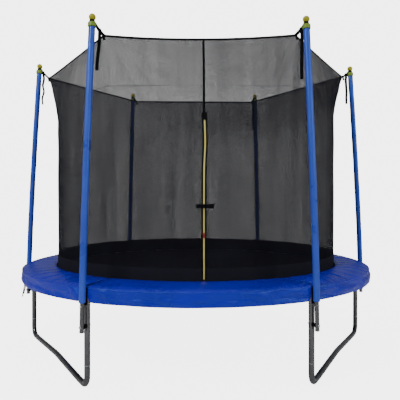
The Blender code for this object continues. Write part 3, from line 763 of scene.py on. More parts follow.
def makeStrap(name):
    angle = stations[name]
    side = sideways(angle)
    neck, corner = strapEnds(name)
    lean = leanAt(name, tailSettings["neckHeight"])
    centre = onPole(name, tailSettings["neckHeight"])
    loop = []
    for k in range(28):
        around = 2 * pi * k / 28
        spread = strapSettings["bandRadius"] + 0.0004 * sin(3.0 * around + angle)
        loop.append(centre + outward(angle) * spread * cos(around) + side * spread * sin(around)
                    - up * 0.0008 * cos(around))
    band = flatOutline(*strapSettings["band"])
    parts = [sweptMesh("neckBand", loop, band, lean, closed=True, sharpAngle=60.0)]
    sag = [neck.lerp(corner, t) - up * 0.003 * sin(pi * t) for t in (0.0, 0.25, 0.5, 0.75, 1.0)]
    run = smoothPath(sag, 0.005)
    wide, thick = strapSettings["front" if name.startswith("front") else "other"]
    knotShare = tailSettings["knotShare"][name]

    def gathered(i, share):
        # the strap is drawn together toward its knot
        pinch = 1.0 - 0.25 * exp(-((share - knotShare) / 0.12) ** 2)
        return [(a * pinch, b / pinch) for a, b in flatOutline(wide, thick, 0.55)(i, share)]

    parts.append(sweptMesh("tautRun", run, gathered, up, sharpAngle=60.0))
    knotPlace = neck.lerp(corner, knotShare) - up * 0.003
    parts.append(knotMesh(knotPlace, side, strapSettings["knot"]))
    parts.append(knotMesh(corner, side, strapSettings["knot"] * 0.95))
    drift = Vector((0.006, -0.003, 0.0)) - up * strapSettings["stub"]
    fall = [corner + drift * t for t in (0.1, 0.4, 0.7, 1.0)]
    stub = flatOutline(strapSettings["stubWidth"], 0.0022)
    parts.append(sweptMesh("stub", smoothPath(fall, 0.006), stub, Vector((1.0, 0.0, 0.0)), sharpAngle=60.0))
    mesh = joinMeshes(f"netStrap_{name}", parts)
    addPiece(f"netStrap_{name}", mesh, materials["webbing"], "frame", [f"net_strap_{name}"])


def knotMesh(place, side, size):
    # two turns of webbing pulled tight, as a lumpy ring about the strap
    along = side.cross(up).normalized()
    points = []
    for k in range(20):
        around = 4 * pi * k / 20
        rise = (k / 19 - 0.5) * size * 0.9
        turn = up * size * 0.62 * cos(around) + side * size * 0.80 * sin(around)
        points.append(place + turn + along * rise)
    return sweptMesh("knot", points, flatOutline(size * 0.95, size * 0.38), along, sharpAngle=60.0)


print("stage: straps")
for name in stationNames:
    makeStrap(name)


# net

netSettings = {
    "wall": 0.988,
    "hem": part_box("enclosure_net")[0].z,
    "hemBand": (0.538, 0.637),
    "roundSeam": (1.648, 1.651),
    "topHem": (0.0065, 0.0032),
    "flareFrom": (1.250, 1.600),     # above these it is drawn out to its corners, and in between them
    "flarePower": 1.8,
    "sags": [0.0, 0.0, 0.0, 0.006, 0.025, 0.008],     # of each side of the top edge, round from +X
    "columns": 540,
    "rows": 110,
    "followFrom": 1.02,     # a height on the net, in metres
    "followTo": 0.58,
    "foldDepth": 0.0040,
    "fineDepth": 0.0016,
    "dragDepth": 0.010,
    # how hard each corner draws folds into the cloth
    "draw": {"front_left": 0.25, "front_right": 0.7, "right": 1.3,
             "back_right": 0.5, "back_left": 0.5, "left": 0.9},
}


def netCorner(angle):
    # corner radius, corner height and fold strength at an angle, between its two stations
    share = (angle % 60.0) / 60.0
    before = 60.0 * ((angle // 60.0) % 6)
    found = []
    for station in (before, (before + 60.0) % 360.0):
        name = min(stationNames, key=lambda n: abs((stations[n] - station + 180.0) % 360.0 - 180.0))
        found.append((*cornerOf(name), netSettings["draw"][name]))
    return [a + (b - a) * share for a, b in zip(*found)]


def netPoint(angle, share, proud=0.0):
    # share runs from the hem to the top edge; the wall is round and its top is drawn to six corners
    s = netSettings
    off = (angle % 60.0) - 30.0
    cornerRadius, cornerHeight, draw = netCorner(angle)
    flat = cornerRadius * cos(radians(30.0)) / cos(radians(off))
    top = cornerHeight - s["sags"][int(angle // 60.0) % 6] * (1.0 - (abs(off) / 30.0) ** 2)
    height = s["hem"] + share * (top - s["hem"])
    flareFrom = s["flareFrom"][0 if flat > s["wall"] else 1]
    pull = max(0.0, (height - flareFrom) / (cornerHeight - flareFrom)) ** s["flarePower"]
    radius = s["wall"] + (flat - s["wall"]) * pull
    arc = radians(angle) * s["wall"]
    cx, cy = cos(radians(angle)), sin(radians(angle))
    free = sin(pi * min(max(share, 0.0), 1.0)) ** 0.5  # held at the hem and at the top edge
    folds = wobble(cx * 9.0, cy * 9.0, height * 0.7) + 0.5 * wobble(cx * 22.0, cy * 22.0, height * 1.6)
    fine = wobble(cx * 60.0, cy * 60.0, height * 1.1)
    fromCorner = radians(30.0 - abs(off)) * s["wall"]
    below = cornerHeight - height
    reach = exp(-((fromCorner ** 2 + below ** 2) ** 0.5) / 0.36)
    spoke = atan2(fromCorner, below + 0.02)
    drag = sin(spoke * 26.0 + 2.0 * wobble(cx * 3.0, cy * 3.0, height * 2.0)) * reach
    bottom = exp(-(share / 0.10) ** 2) * wobble(cx * 45.0, cy * 45.0, 4.0) * 0.0035
    fromDoor = abs((angle - doorAngle + 180.0) % 360.0 - 180.0)
    calm = 1.0 - exp(-(fromDoor / 3.4) ** 4)
    cloth = s["foldDepth"] * folds + s["fineDepth"] * fine + s["dragDepth"] * draw * drag + bottom
    radius += free * calm * cloth
    return polar(angle, radius + proud, height), (arc, height)


def followMat(piece):
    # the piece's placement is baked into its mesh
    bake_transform(piece)


def netStrip(name, angles, shares, material, proud, closed, thick=0.0):
    # part of the net's own surface; with a thickness it is a closed band
    rows, uvs = [], []
    for share in shares:
        found = [netPoint(a, share, proud) for a in angles]
        rows.append([p for p, _ in found])
        uvs.append([c for _, c in found])
    if thick:
        for share in reversed(shares):
            found = [netPoint(a, share, proud + thick) for a in angles]
            rows.append([p for p, _ in found])
            uvs.append([c for _, c in found])
    mesh = gridMesh(name, rows, bool(thick), closed, uvs, sharpAngle=60.0)
    fixNormals(mesh, thick and not closed)
    piece = addPiece(name, mesh, material)
    followMat(piece)
    return piece


def heightShare(height):
    return (height - netSettings["hem"]) / (tailSettings["cornerHeight"] - netSettings["hem"])


def makeNet():
    columns, rowCount = netSettings["columns"], netSettings["rows"]
    angles = [-180.0 + 360.0 * i / columns for i in range(columns)]
    shares = [i / rowCount for i in range(rowCount + 1)]
    net = netStrip("enclosureNet", angles + [180.0], shares, materials["net"], 0.0, False)
    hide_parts("enclosure_net")
    low, high = netSettings["hemBand"]
    bandShares = [heightShare(low + (high - low) * i / 9) for i in range(10)]
    hem = netStrip("netHemBand", angles, bandShares, materials["hemCloth"], 0.0012, True, 0.0016)
    low, high = netSettings["roundSeam"]
    seamShares = [heightShare(h) for h in (low, (low + high) / 2.0, high)]
    seam = netStrip("netRoundSeam", angles, seamShares, materials["net"], 0.0014, True)
    edge = [netPoint(a, 1.0)[0] for a in angles]
    wide, thick = netSettings["topHem"]
    oval = [(wide * cos(2 * pi * k / 10), thick * sin(2 * pi * k / 10)) for k in range(10)]
    rope = sweptMesh("netTopHem", edge, lambda i, share: oval, up, closed=True, sharpAngle=60.0)
    addPiece("netTopHem", rope, materials["webbing"], "frame")


print("stage: net")
makeNet()


# zip door

doorSettings = {
    "low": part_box("door_zipper")[0].z,
    "high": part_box("door_zipper")[1].z,
    "radius": 0.9901,
    "tapeWidth": 0.028,
    "tapeThick": 0.0012,
    "chainWidth": 0.0074,
    "pitch": 0.0026,
    "patchHigh": 1.484,
    "patchWidth": 0.033,
    "bindingWidth": 0.0135,
}


def doorFrame(height, radius):
    # local X to the right seen from outside, local Y inward, local Z up
    turn = Matrix.Rotation(radians(doorAngle + 90.0), 4, "Z")
    return Matrix.Translation(polar(doorAngle, radius, height)) @ turn


def doorShift(height):
    # the closed zip wanders a little to the side on its way up; it is true where the slider and buckle sit
    loose = max(0.0, min(1.0, (height - 0.99) / 0.25)) + 0.35 * max(0.0, min(1.0, (0.79 - height) / 0.15))
    return loose * (0.0065 * exp(-((height - 1.33) / 0.13) ** 2) + 0.0030 * wobble(height * 7.0, 2.0))


def blendedBox(name, low, high, material, rowsUp=60, replaced=()):
    # a long thin box in the door's frame, in rows that each follow the zip's wander to the side
    rows, uvs = [], []
    place = doorFrame(0.0, doorSettings["radius"])
    for i in range(rowsUp + 1):
        z = low[2] + (high[2] - low[2]) * i / rowsUp
        ring = [(low[0], low[1]), (high[0], low[1]), (high[0], high[1]), (low[0], high[1])]
        rows.append([place @ Vector((x + doorShift(z), y, z)) for x, y in ring])
        uvs.append([(x, z) for x, y in ring])
    mesh = gridMesh(name, rows, False, True, uvs, True, 30.0)
    fixNormals(mesh)
    piece = addPiece(name, mesh, material, None, replaced)
    followMat(piece)
    return piece


def makeChain():
    # two combs of teeth that interlock along the middle of the tape
    place = doorFrame(0.0, doorSettings["radius"])
    half = doorSettings["chainWidth"] / 2.0
    count = int((doorSettings["high"] - doorSettings["low"]) / doorSettings["pitch"])
    vertices, faces = [], []
    for i in range(count):
        z = doorSettings["low"] + 0.002 + doorSettings["pitch"] * i
        side = 1 if i % 2 else -1
        shift = doorShift(z)
        xs = sorted((-side * half * 0.18, side * half))
        first = len(vertices)
        for y, shrink in ((-doorSettings["tapeThick"] - 0.0002, 0.0), (-0.0030, 0.0003)):
            a, b = xs[0] + shrink, xs[1] - shrink
            for x, h in ((a, z - 0.0009), (b, z - 0.0009), (b, z + 0.0009), (a, z + 0.0009)):
                vertices.append(place @ Vector((x + shift, y, h)))
        for quad in ((0, 1, 2, 3), (7, 6, 5, 4), (0, 4, 5, 1), (1, 5, 6, 2), (2, 6, 7, 3), (3, 7, 4, 0)):
            faces.append(tuple(first + corner for corner in quad))
    mesh = finishMesh("zipChain", vertices, faces, sharpAngle=30.0)
    fixNormals(mesh)
    followMat(addPiece("zipChain", mesh, materials["chain"]))


def makeZipper():
    half, thick = doorSettings["tapeWidth"] / 2.0, doorSettings["tapeThick"]
    low, high = doorSettings["low"], doorSettings["high"]
    blendedBox("zipTape", (-half, -thick, low), (half, 0.0, high), materials["tape"], 80,
               ["door_zipper"])
    core = doorSettings["chainWidth"] / 2.0
    blendedBox("zipCore", (-core, -thick - 0.0011, low), (core, -thick - 0.0001, high), materials["chain"],
               80)
    makeChain()
    patch = doorSettings["patchWidth"] / 2.0
    blendedBox("zipTopPatch", (-patch, -0.0032, high - 0.017), (patch, 0.0, doorSettings["patchHigh"]),
               materials["webbing"], 12)
    spread = degrees(doorSettings["bindingWidth"] / netSettings["wall"]) / 2.0
    start = heightShare(doorSettings["patchHigh"]) * 0.995
    shares = [start + (0.998 - start) * i / 30 for i in range(31)]
    netStrip("doorBinding", [doorAngle - spread, doorAngle, doorAngle + spread], shares, materials["webbing"],
             0.0010, False, 0.0012)


# width, thickness and height of each part; the arch's middle value is how far it stands out
sliderSettings = {
    "gap": 0.0033,      # between the tape and the slider
    "plate": (0.016, 0.0020, 0.018),
    "arch": (0.004, 0.0042, 0.0088),
    "puller": (0.012, 0.0014, 0.0215),
}


def makeSlider():
    low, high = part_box("zip_slider")
    middle = (low.z + high.z) / 2.0
    gap = sliderSettings["gap"]
    place = doorFrame(middle, doorSettings["radius"] + gap)
    width, thick, tall = sliderSettings["plate"]
    bm = bmesh.new()
    bmesh.ops.create_cube(bm, size=1.0)
    for v in bm.verts:
        taper = 1.0 if v.co.z > 0 else 0.72
        v.co = Vector((v.co.x * width * taper, (v.co.y - 0.5) * thick, v.co.z * tall))
    bmesh.ops.bevel(bm, geom=bm.edges[:], offset=0.0007, segments=2, profile=0.6, affect="EDGES")
    bm.transform(place)
    plate = bpy.data.meshes.new("sliderPlate")
    bm.to_mesh(plate)
    bm.free()
    plate.shade_smooth()
    archWidth, reach, archTall = sliderSettings["arch"]
    half = archTall / 2.0 - 0.0006
    rise = [(-0.0005, -half), (-reach * 0.7, -half), (-reach + 0.0006, -half * 0.6),
            (-reach + 0.0006, half * 0.6), (-reach * 0.7, half), (-0.0005, half)]
    path = smoothPath([place @ Vector((0.0, -thick + y, z)) for y, z in rise], 0.0008)
    arch = sweptMesh("sliderArch", path, flatOutline(archWidth, 0.0012), sideways(doorAngle))
    body = joinMeshes("zipSliderBody", [plate, arch])
    addPiece("zipSliderBody", body, materials["red"], "slider", ["zip_slider"])

    pullerWidth, pullerThick, drop = sliderSettings["puller"]
    hinge = doorFrame(middle, doorSettings["radius"] + gap + thick + 0.0015)
    edge, side = pullerThick / 2.0, pullerWidth / 2.0
    parts = [boxMesh("pullerBar", (-side, -edge, -edge), (side, edge, edge), 0.0003, hinge),
             boxMesh("pullerTab", (-side, -edge, -drop), (side, edge, -0.0058), 0.0004, hinge)]
    for sign in (-1, 1):
        xs = sorted((sign * 0.0029, sign * side))
        parts.append(boxMesh("pullerArm", (xs[0], -edge, -0.0062), (xs[1], edge, 0.0), 0.0003, hinge))
    tab = joinMeshes("zipPullerTab", parts)
    addPiece("zipPullerTab", tab, materials["red"], "puller", ["zip_puller"])


buckleSettings = {
    "inner": 1.0002,        # radius of the buckle's back
    "half": 0.012,
    "thick": 0.0085,
    "socket": 0.030,
    "plug": 0.018,
    "reach": 0.044,
    "strap": (0.0235, 0.0040),
}


def makeBuckle():
    b = buckleSettings
    thick, half = b["thick"], b["half"]
    height = (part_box("buckle_socket")[0].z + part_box("buckle_socket")[1].z) / 2.0
    place = doorFrame(height, b["inner"] + thick)
    shell = boxMesh("socketShell", (-b["socket"], 0.0, -half), (0.0, thick, half), 0.0022, place, 3)
    shellPiece = addPiece("buckleSocketShell", shell, materials["plastic"], "frame",
                          ["buckle_socket"])
    window = boxMesh("window", (-0.019, -0.002, -0.0035), (-0.006, 0.0012, 0.0035), 0.0008, place)
    pocket = boxMesh("pocket", (-0.023, 0.0017, -0.0093), (0.004, thick - 0.0017, 0.0093), 0.0006, place)
    for label, shape in (("buckleWindow", window), ("bucklePocket", pocket)):
        cutter = bpy.data.objects.new(label, shape)
        bpy.context.scene.collection.objects.link(cutter)
        cut = shellPiece.modifiers.new(cutter.name, "BOOLEAN")
        cut.operation = "DIFFERENCE"
        cut.object = cutter
        applyModifiers(shellPiece)
        bpy.data.objects.remove(cutter, do_unlink=True)
    parts = [boxMesh("plugBody", (0.0003, 0.0, -half), (b["plug"], thick, half), 0.0022, place, 3)]
    for sign in (-1, 1):
        low, high = sorted((sign * 0.0036, sign * 0.0086))
        parts.append(boxMesh("plugArm", (-0.0219, 0.0024, low), (0.002, thick - 0.0024, high), 0.0009, place))
    guide = boxMesh("plugGuide", (-0.018, 0.0030, -0.0011), (0.002, thick - 0.0030, 0.0011), 0.0004, place)
    parts.append(guide)
    plug = joinMeshes("bucklePlug", parts)
    addPiece("bucklePlug", plug, materials["plastic"], "prong", ["buckle_prong"])
    level = thick * 0.5
    netLevel = thick + b["inner"] - doorSettings["radius"] - 0.0045
    for name, side, start, reach, body in (("left", -1, b["socket"] - 0.004, b["reach"], "frame"),
                                           ("right", 1, b["plug"] - 0.004, b["reach"] + 0.010, "prong")):
        turns = [(start, level), (start + 0.005, level), (start + 0.012, netLevel * 0.75),
                 (start + 0.018, netLevel), (reach, netLevel)]
        run = smoothPath([place @ Vector((side * x, y, 0.0)) for x, y in turns], 0.003)
        strap = sweptMesh("buckleStrap", run, flatOutline(*b["strap"]), up, sharpAngle=60.0)
        addPiece(f"buckleStrap_{name}", strap, materials["webbing"], body)


def applyModifiers(piece):
    graph = bpy.context.evaluated_depsgraph_get()
    graph.update()
    baked = bpy.data.meshes.new_from_object(piece.evaluated_get(graph))
    piece.modifiers.clear()
    piece.data = baked


print("stage: zip door and buckle")
makeZipper()
makeSlider()
makeBuckle()


# jumping mat and springs

matSettings = {
    "radius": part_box("jump_mat")[1].x,
    "top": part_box("jump_mat")[1].z,
    "thick": 0.0035,
    "dip": 0.006,
    "hemWidth": 0.045,
    "springs": 48,
}


def makeMat():
    radius, top = matSettings["radius"], matSettings["top"]
    steps, ringCount = 192, 40
    rows, uvs = [], []
    for i in range(ringCount + 1):
        r = max(radius * i / ringCount, 1e-4)
        rise = top - 0.0015 - matSettings["dip"] * (1.0 - (r / radius) ** 2)
        rows.append([polar(360.0 * k / steps, r, rise) for k in range(steps)])
    for row in list(reversed(rows)):
        rows.append([p - up * matSettings["thick"] for p in row])
    mesh = gridMesh("jumpMatCloth", rows, False, True, None, True, 60.0)
    fixNormals(mesh)
    cloth = addPiece("jumpMatCloth", mesh, materials["mat"], "mat", ["jump_mat"])
    hem = []
    inner = radius - matSettings["hemWidth"]
    for r, z in ((inner, top - 0.0016), (inner + 0.002, top - 0.0002), ((inner + radius) / 2, top + 0.0001),
                 (radius - 0.002, top - 0.0002), (radius, top - 0.0016)):
        hem.append([polar(360.0 * k / steps, r, z) for k in range(steps)])
    uvs = [[(2 * pi * radius * k / steps, 0.011 * i) for k in range(steps)] for i in range(len(hem))]
    band = gridMesh("matHem", hem, True, True, uvs, False, 60.0)
    fixNormals(band)
    hemPiece = addPiece("matHemBand", band, materials["hemCloth"], "mat")
    rings = makeMatRings()


def makeMatRings():
    # triangular wire rings sewn under the hem; each takes a spring's hook
    height = matSettings["top"] - 0.0025
    parts = []
    for i in range(matSettings["springs"]):
        angle = 360.0 * (i + 0.5) / matSettings["springs"]
        out, side = outward(angle), sideways(angle)
        base, tip, half = matSettings["radius"] - 0.004, matSettings["radius"] + 0.016, 0.015
        corners = [out * base - side * half, out * base + side * half, out * tip + side * 0.004,
                   out * tip - side * 0.004]
        path = []
        for a, b in zip(corners, corners[1:] + corners[:1]):
            path += [a.lerp(b, t) + up * height for t in (0.12, 0.5, 0.88)]
        parts.append(sweptMesh("matRing", path, roundOutline(0.0016, 6), up, closed=True))
    mesh = joinMeshes("matRings", parts)
    return addPiece("matRings", mesh, materials["spring"], "mat")


springSettings = {"coil": 0.0085, "wire": 0.0014, "turns": 24, "hook": 0.020, "perTurn": 9}


def springPath(length):
    # a hook, the coil, and a second hook, along +X from 0
    s = springSettings
    points = []
    for t in range(5):
        points.append(Vector((0.006 - 0.006 * cos(pi * t / 8), 0.0, -0.006 * sin(pi * t / 5))))
    points.append(Vector((s["hook"] * 0.6, 0.0, 0.0)))
    coilLength = length - 2 * s["hook"]
    steps = s["turns"] * s["perTurn"]
    for i in range(steps + 1):
        around = 2 * pi * i / s["perTurn"]
        grow = min(1.0, i / 6, (steps - i) / 6)
        points.append(Vector((s["hook"] + coilLength * i / steps, s["coil"] * grow * sin(around),
                              s["coil"] * grow * cos(around))))
    points.append(Vector((length - s["hook"] * 0.6, 0.0, 0.0)))
    for t in range(5):
        points.append(Vector((length - 0.006 + 0.006 * cos(pi * (4 - t) / 8), 0.0, -0.006 * sin(pi * t / 5))))
    return points


def makeSprings():
    inner = matSettings["radius"] + 0.012
    outer = poleSettings["frameRadius"] - poleSettings["frameTube"] + 0.001
    length = outer - inner
    low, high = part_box("springs")
    height = (low.z + high.z) / 2.0
    path = springPath(length)
    for i in range(matSettings["springs"]):
        angle = 360.0 * (i + 0.5) / matSettings["springs"]
        mesh = sweptMesh(f"coilSpring_{i + 1:02d}", path, roundOutline(springSettings["wire"], 5), up,
                         sharpAngle=80.0)
        turn = Matrix.Translation(polar(angle, inner, height)) @ Matrix.Rotation(radians(angle), 4, "Z")
        mesh.transform(turn)
        spring = addPiece(f"coilSpring_{i + 1:02d}", mesh, materials["spring"], None,
                          ["springs"] if i == 0 else ())
        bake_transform(spring)


print("stage: mat and springs")
makeMat()
makeSprings()


# safety pad

padSettings = {
    "inner": 0.998,
    "outer": 1.220,
    "base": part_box("safety_pad")[1].z - 0.028,
    "top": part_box("safety_pad")[1].z,
    "skirtLow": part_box("safety_pad")[0].z,
    # the top's height, as (inward from the outer edge, down from the highest line)
    "slope": [(0.222, 0.010), (0.214, 0.003), (0.200, 0.001), (0.120, 0.003), (0.035, 0.012), (0.012, 0.0175),
              (0.0, 0.024)],
    "slotFloor": 1.2115,
    "slotHalf": 0.0215,
    "cornerRound": 0.030,
    "crown": 0.003,
    "crease": 0.0075,
    "foldDepth": 0.0180,
    "foldLimit": (0.0008, 0.009),     # inward over the rail, and elsewhere
    "railLow": sum(corner.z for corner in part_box("springs")) / 2.0 - poleSettings["frameTube"],
    # how hard the cover puckers round each slot
    "pucker": {"front_left": 0.9, "front_right": 1.7, "right": 0.8, "back_right": 0.8, "back_left": 0.8,
               "left": 0.8},
    "puckerDepth": 0.0036,
    # narrow creases across the top: (middle angle, spread, depth)
    "ribs": [(-22.0, 28.0, 0.0090), (-138.0, 13.0, 0.0070), (100.0, 70.0, 0.0040)],
    "ribCount": 62,
    "steps": 1080,
}


def padSkirtLow(away):
    # height of the skirt's edge; its corners are rounded beside a slot
    s = padSettings
    inside = s["cornerRound"] - away
    if inside <= 0.0:
        return s["skirtLow"]
    drop = (s["cornerRound"] ** 2 - inside ** 2) ** 0.5 if inside < s["cornerRound"] else 0.0
    return s["skirtLow"] + s["cornerRound"] - drop


def padTop(inward):
    # height of the pad's upper face
    slope = padSettings["slope"]
    for (a, dropA), (b, dropB) in zip(slope, slope[1:]):
        if inward >= b:
            share = (a - inward) / (a - b)
            return padSettings["top"] - dropA - (dropB - dropA) * max(0.0, share)
    return padSettings["top"] - slope[-1][1]


def padPucker(angle, off, radius):
    # creases that curl round a slot, from how the cover is pulled there
    station = min(stationNames, key=lambda n: abs((stations[n] - angle + 180.0) % 360.0 - 180.0))
    strength = padSettings["pucker"][station] * padSettings["puckerDepth"]
    away = ((radians(off) * radius) ** 2 + (1.235 - radius) ** 2) ** 0.5
    swirl = 2.0 * wobble(cos(radians(angle)) * 12.0, sin(radians(angle)) * 12.0, radius * 6.0)
    return strength * sin(away * 165.0 + swirl) * exp(-(away / 0.150) ** 2)


def padRibs(angle, radius):
    s = padSettings
    depth = 0.0
    for middle, spread, most in s["ribs"]:
        depth += most * exp(-(((angle - middle + 180.0) % 360.0 - 180.0) / spread) ** 2)
    cx, cy = cos(radians(angle)), sin(radians(angle))
    bend = 2.2 * wobble(cx * 6.0, cy * 6.0, radius * 5.0) + 0.6 * sin(radius * 22.0)
    groove = max(0.0, sin(radians(angle) * s["ribCount"] + bend)) ** 6
    fade = 0.35 + max(0.0, 0.8 + 1.4 * wobble(cx * 20.0, cy * 20.0, radius * 8.0))
    return -depth * groove * min(1.2, fade)


def padColumn(angle):
    # the pad's section at one angle, as a closed loop of points
    s = padSettings
    off = ((angle + 30.0) % 60.0) - 30.0  # from the nearest pole
    arc = abs(radians(off)) * s["outer"]
    away = max(0.0, arc - s["slotHalf"])
    inSlot = arc < s["slotHalf"]
    cx, cy = cos(radians(angle)), sin(radians(angle))
    seam = exp(-(arc / 0.0055) ** 2)
    swell = 1.0 - exp(-(arc / 0.05) ** 2)
    outer = s["slotFloor"] if inSlot else s["outer"]
    loop = [(s["inner"] + 0.0005, s["base"] + 0.004), (s["inner"], padTop(s["outer"] - s["inner"]) - 0.004)]
    for k in range(27):
        t = (k / 26) ** 0.85
        r = s["inner"] + (outer - s["inner"] - 0.0005) * t
        bulge = s["crown"] * sin(pi * t) ** 0.6 * swell
        ripple = 0.0020 * wobble(cx * 14, cy * 14, r * 9) + 0.0012 * wobble(cx * 40, cy * 40, r * 12)
        pull = -s["crease"] * 1.2 * seam * sin(pi * min(1.0, t * 1.2)) ** 0.5
        soft = sin(pi * t) ** 0.4
        creases = ripple + (padRibs(angle, r) + padPucker(angle, off, r)) * (1.0 - exp(-(arc / 0.014) ** 2))
        height = padTop(s["outer"] - r) + bulge + creases * soft + pull
        loop.append((r, height))
    low = s["base"] if inSlot else padSkirtLow(away)
    start = loop[-1][1] - 0.004
    hang = 16
    inner = []
    for k in range(hang + 1):
        t = k / hang
        z = start + (low - start) * t
        loose = 0.0 if inSlot else min(1.0, away / 0.035)
        roll = wobble(cx * 5.0 + 9.0, cy * 5.0, z * 26.0) + 0.7 * wobble(cx * 11.0, cy * 11.0 + 3.0, z * 34.0)
        slant = wobble(cx * 16.0 + z * 14.0, cy * 16.0, z * 10.0)
        near = exp(-away / 0.09)
        # loosest half-way down; the hem holds the lower edge round
        slack = sin(pi * min(1.0, 0.12 + 0.80 * t)) ** 0.8
        fold = s["foldDepth"] * loose * slack * (0.65 * roll + (0.35 + 0.9 * near) * slant)
        tuck = 0.0 if inSlot else -0.0045 * exp(-away / 0.010)
        hemProud = 0.0008 if (not inSlot and z < low + 0.010) else 0.0
        belly = 0.0030 * sin(pi * t) * loose
        atRail = max(0.0, min(1.0, (z - s["railLow"] + 0.014) / 0.012))
        inward = s["foldLimit"][1] + (s["foldLimit"][0] - s["foldLimit"][1]) * atRail
        face = outer + max(-inward, min(s["foldLimit"][1], fold + tuck + belly))
        loop.append((face + hemProud, z))
        inner.append((face - 0.003, z))
    if inSlot:
        inner = [(outer - 0.003 - 0.0001 * k, s["base"] + 0.0001 * k) for k in range(hang + 1)]
    loop += [(r, min(z, s["base"] - 0.0002) if not inSlot else z) for r, z in reversed(inner)]
    for k in range(1, 7):
        t = k / 7
        r = outer - 0.005 + (s["inner"] + 0.004 - outer + 0.005) * t
        loop.append((r, s["base"]))
    loop.append((s["inner"] + 0.002, s["base"] + 0.001))
    return [polar(angle, r, z) for r, z in loop]


slotShadeSettings = {"radius": 1.2179, "width": 0.040, "thick": 0.0009, "high": 0.545, "low": 0.457}


def makeSlotShadeSheet(name):
    # black sheet that hangs in a slot, between the rail's socket and the pole: painted shade that fills the
    # dark gap there
    f = slotShadeSettings
    base = polar(stations[name], f["radius"], 0.0)
    steps = [f["high"] + (f["low"] - f["high"]) * i / 8 for i in range(9)]
    path = [base + up * z + outward(stations[name]) * 0.0002 * sin(z * 60.0) for z in steps]
    flat = flatOutline(f["width"], f["thick"])
    mesh = sweptMesh(f"slotShadeSheet_{name}", path, flat, sideways(stations[name]), sharpAngle=60.0)
    addPiece(f"slotShadeSheet_{name}", mesh, materials["webbing"], "frame")


def padAngles():
    # even steps, with extra ones crowded beside each slot and seam
    s = padSettings
    edge = degrees(s["slotHalf"] / s["outer"])
    near = [0.0, 0.15, 0.3, 0.5, 0.75]
    near += [edge + step for step in (-0.02, 0.02, 0.12, 0.25, 0.42, 0.62, 0.85, 1.1, 1.4)]
    angles = set()
    for i in range(6):
        middle = 60.0 * i - 180.0
        for n in near:
            angles.add(round(middle + n, 4))
            angles.add(round(middle - n, 4))
    step = 360.0 / s["steps"]
    for i in range(s["steps"]):
        a = -180.0 + step * i
        off = abs(((a + 30.0) % 60.0) - 30.0)
        if off > edge + 1.6:
            angles.add(round(a, 4))
    inRange = sorted(a for a in angles if -180.0 - 1e-6 <= a < 180.0 - 1e-6)
    wrapped = sorted(a + 360.0 for a in angles if a < -180.0 - 1e-6)
    return inRange + wrapped


def makePad():
    angles = padAngles()
    rows = [padColumn(a) for a in angles]
    uvs = []
    for a, row in zip(angles, rows):
        run = travel(row)
        uvs.append([(radians(a) * 1.1, d) for d in run])
    mesh = gridMesh("edgePad", rows, True, True, uvs, False, 50.0)
    fixNormals(mesh)
    pad = addPiece("edgePad", mesh, materials["pad"], "frame", ["safety_pad"])
    makePadTrim()


def makePadTrim():
    # piping along the outer edge between slots, and the dark binding inside
    s = padSettings
    edge = degrees(s["slotHalf"] / s["outer"]) + 0.25
    parts = []
    for i in range(6):
        start = 60.0 * i - 180.0
        span = [start + edge + (60.0 - 2 * edge) * k / 100 for k in range(101)]
        path = [polar(a, s["outer"] - 0.0010, padTop(0.0022) - 0.0006) for a in span]
        parts.append(sweptMesh("piping", path, roundOutline(0.0036, 8), up))
    mesh = joinMeshes("padPiping", parts)
    addPiece("padPiping", mesh, materials["pad"], "frame")
    # dark strips along the seams: painted shade in the seam creases
    addPiece("padSeamShade", makeSeamShadeStrips(), materials["padEdge"], "frame")
    steps = 240
    ring = [polar(360.0 * k / steps, s["inner"] - 0.0006, s["top"] - 0.017) for k in range(steps)]
    band = sweptMesh("padInnerBinding", ring, flatOutline(0.018, 0.0024), up, closed=True, sharpAngle=60.0)
    addPiece("padInnerBinding", band, materials["padEdge"], "frame")


def makeSeamShadeStrips():
    # dark strip along the bottom of each seam between two lengths of the cover: painted shade that darkens
    # the seam crease
    s = padSettings
    parts = []
    for name in stationNames:
        angle = 60.0 * round(stations[name] / 60.0)
        path = []
        for k in range(13):
            t = 0.03 + 0.94 * k / 12
            radius = s["inner"] + (s["slotFloor"] - s["inner"]) * t
            sink = s["crease"] * 1.2 * sin(pi * min(1.0, t * 1.2)) ** 0.5
            path.append(polar(angle, radius, padTop(s["outer"] - radius) - sink * 0.40))
        parts.append(sweptMesh("seamShadeStrip", path, flatOutline(0.0068, 0.0030), sideways(angle)))
    return joinMeshes("padSeamShade", parts)


tieSettings = {
    "radius": 1.206,
    "high": 0.482,
    "diameter": 0.0070,
    # angle round the rim, then how far out, along and down each tie's free end is
    "ties": [(-171.5, 0.022, 0.004, 0.134), (-165.5, 0.016, 0.006, 0.130)],
}


def makeTies():
    s = tieSettings
    for i, (angle, out, along, down) in enumerate(s["ties"]):
        base = polar(angle, s["radius"], s["high"])
        lean = outward(angle) * out + sideways(angle) * along
        points = [base, base - up * 0.022 - lean * 0.10, base - up * 0.046 + lean * 0.15,
                  base - up * down + lean]
        path = smoothPath(points, 0.004)
        mesh = sweptMesh(f"padTie_{i + 1}", path, roundOutline(s["diameter"] / 2.0, 10), sideways(angle))
        tie = addPiece(f"padTie_{i + 1}", mesh, materials["webbing"], "frame")


print("stage: safety pad")
makePad()
makeTies()


# poles: sleeves, caps, plugs and fixings

sleeveSettings = {"radius": 0.0185, "bore": 0.0121, "rings": 110, "sides": 32}


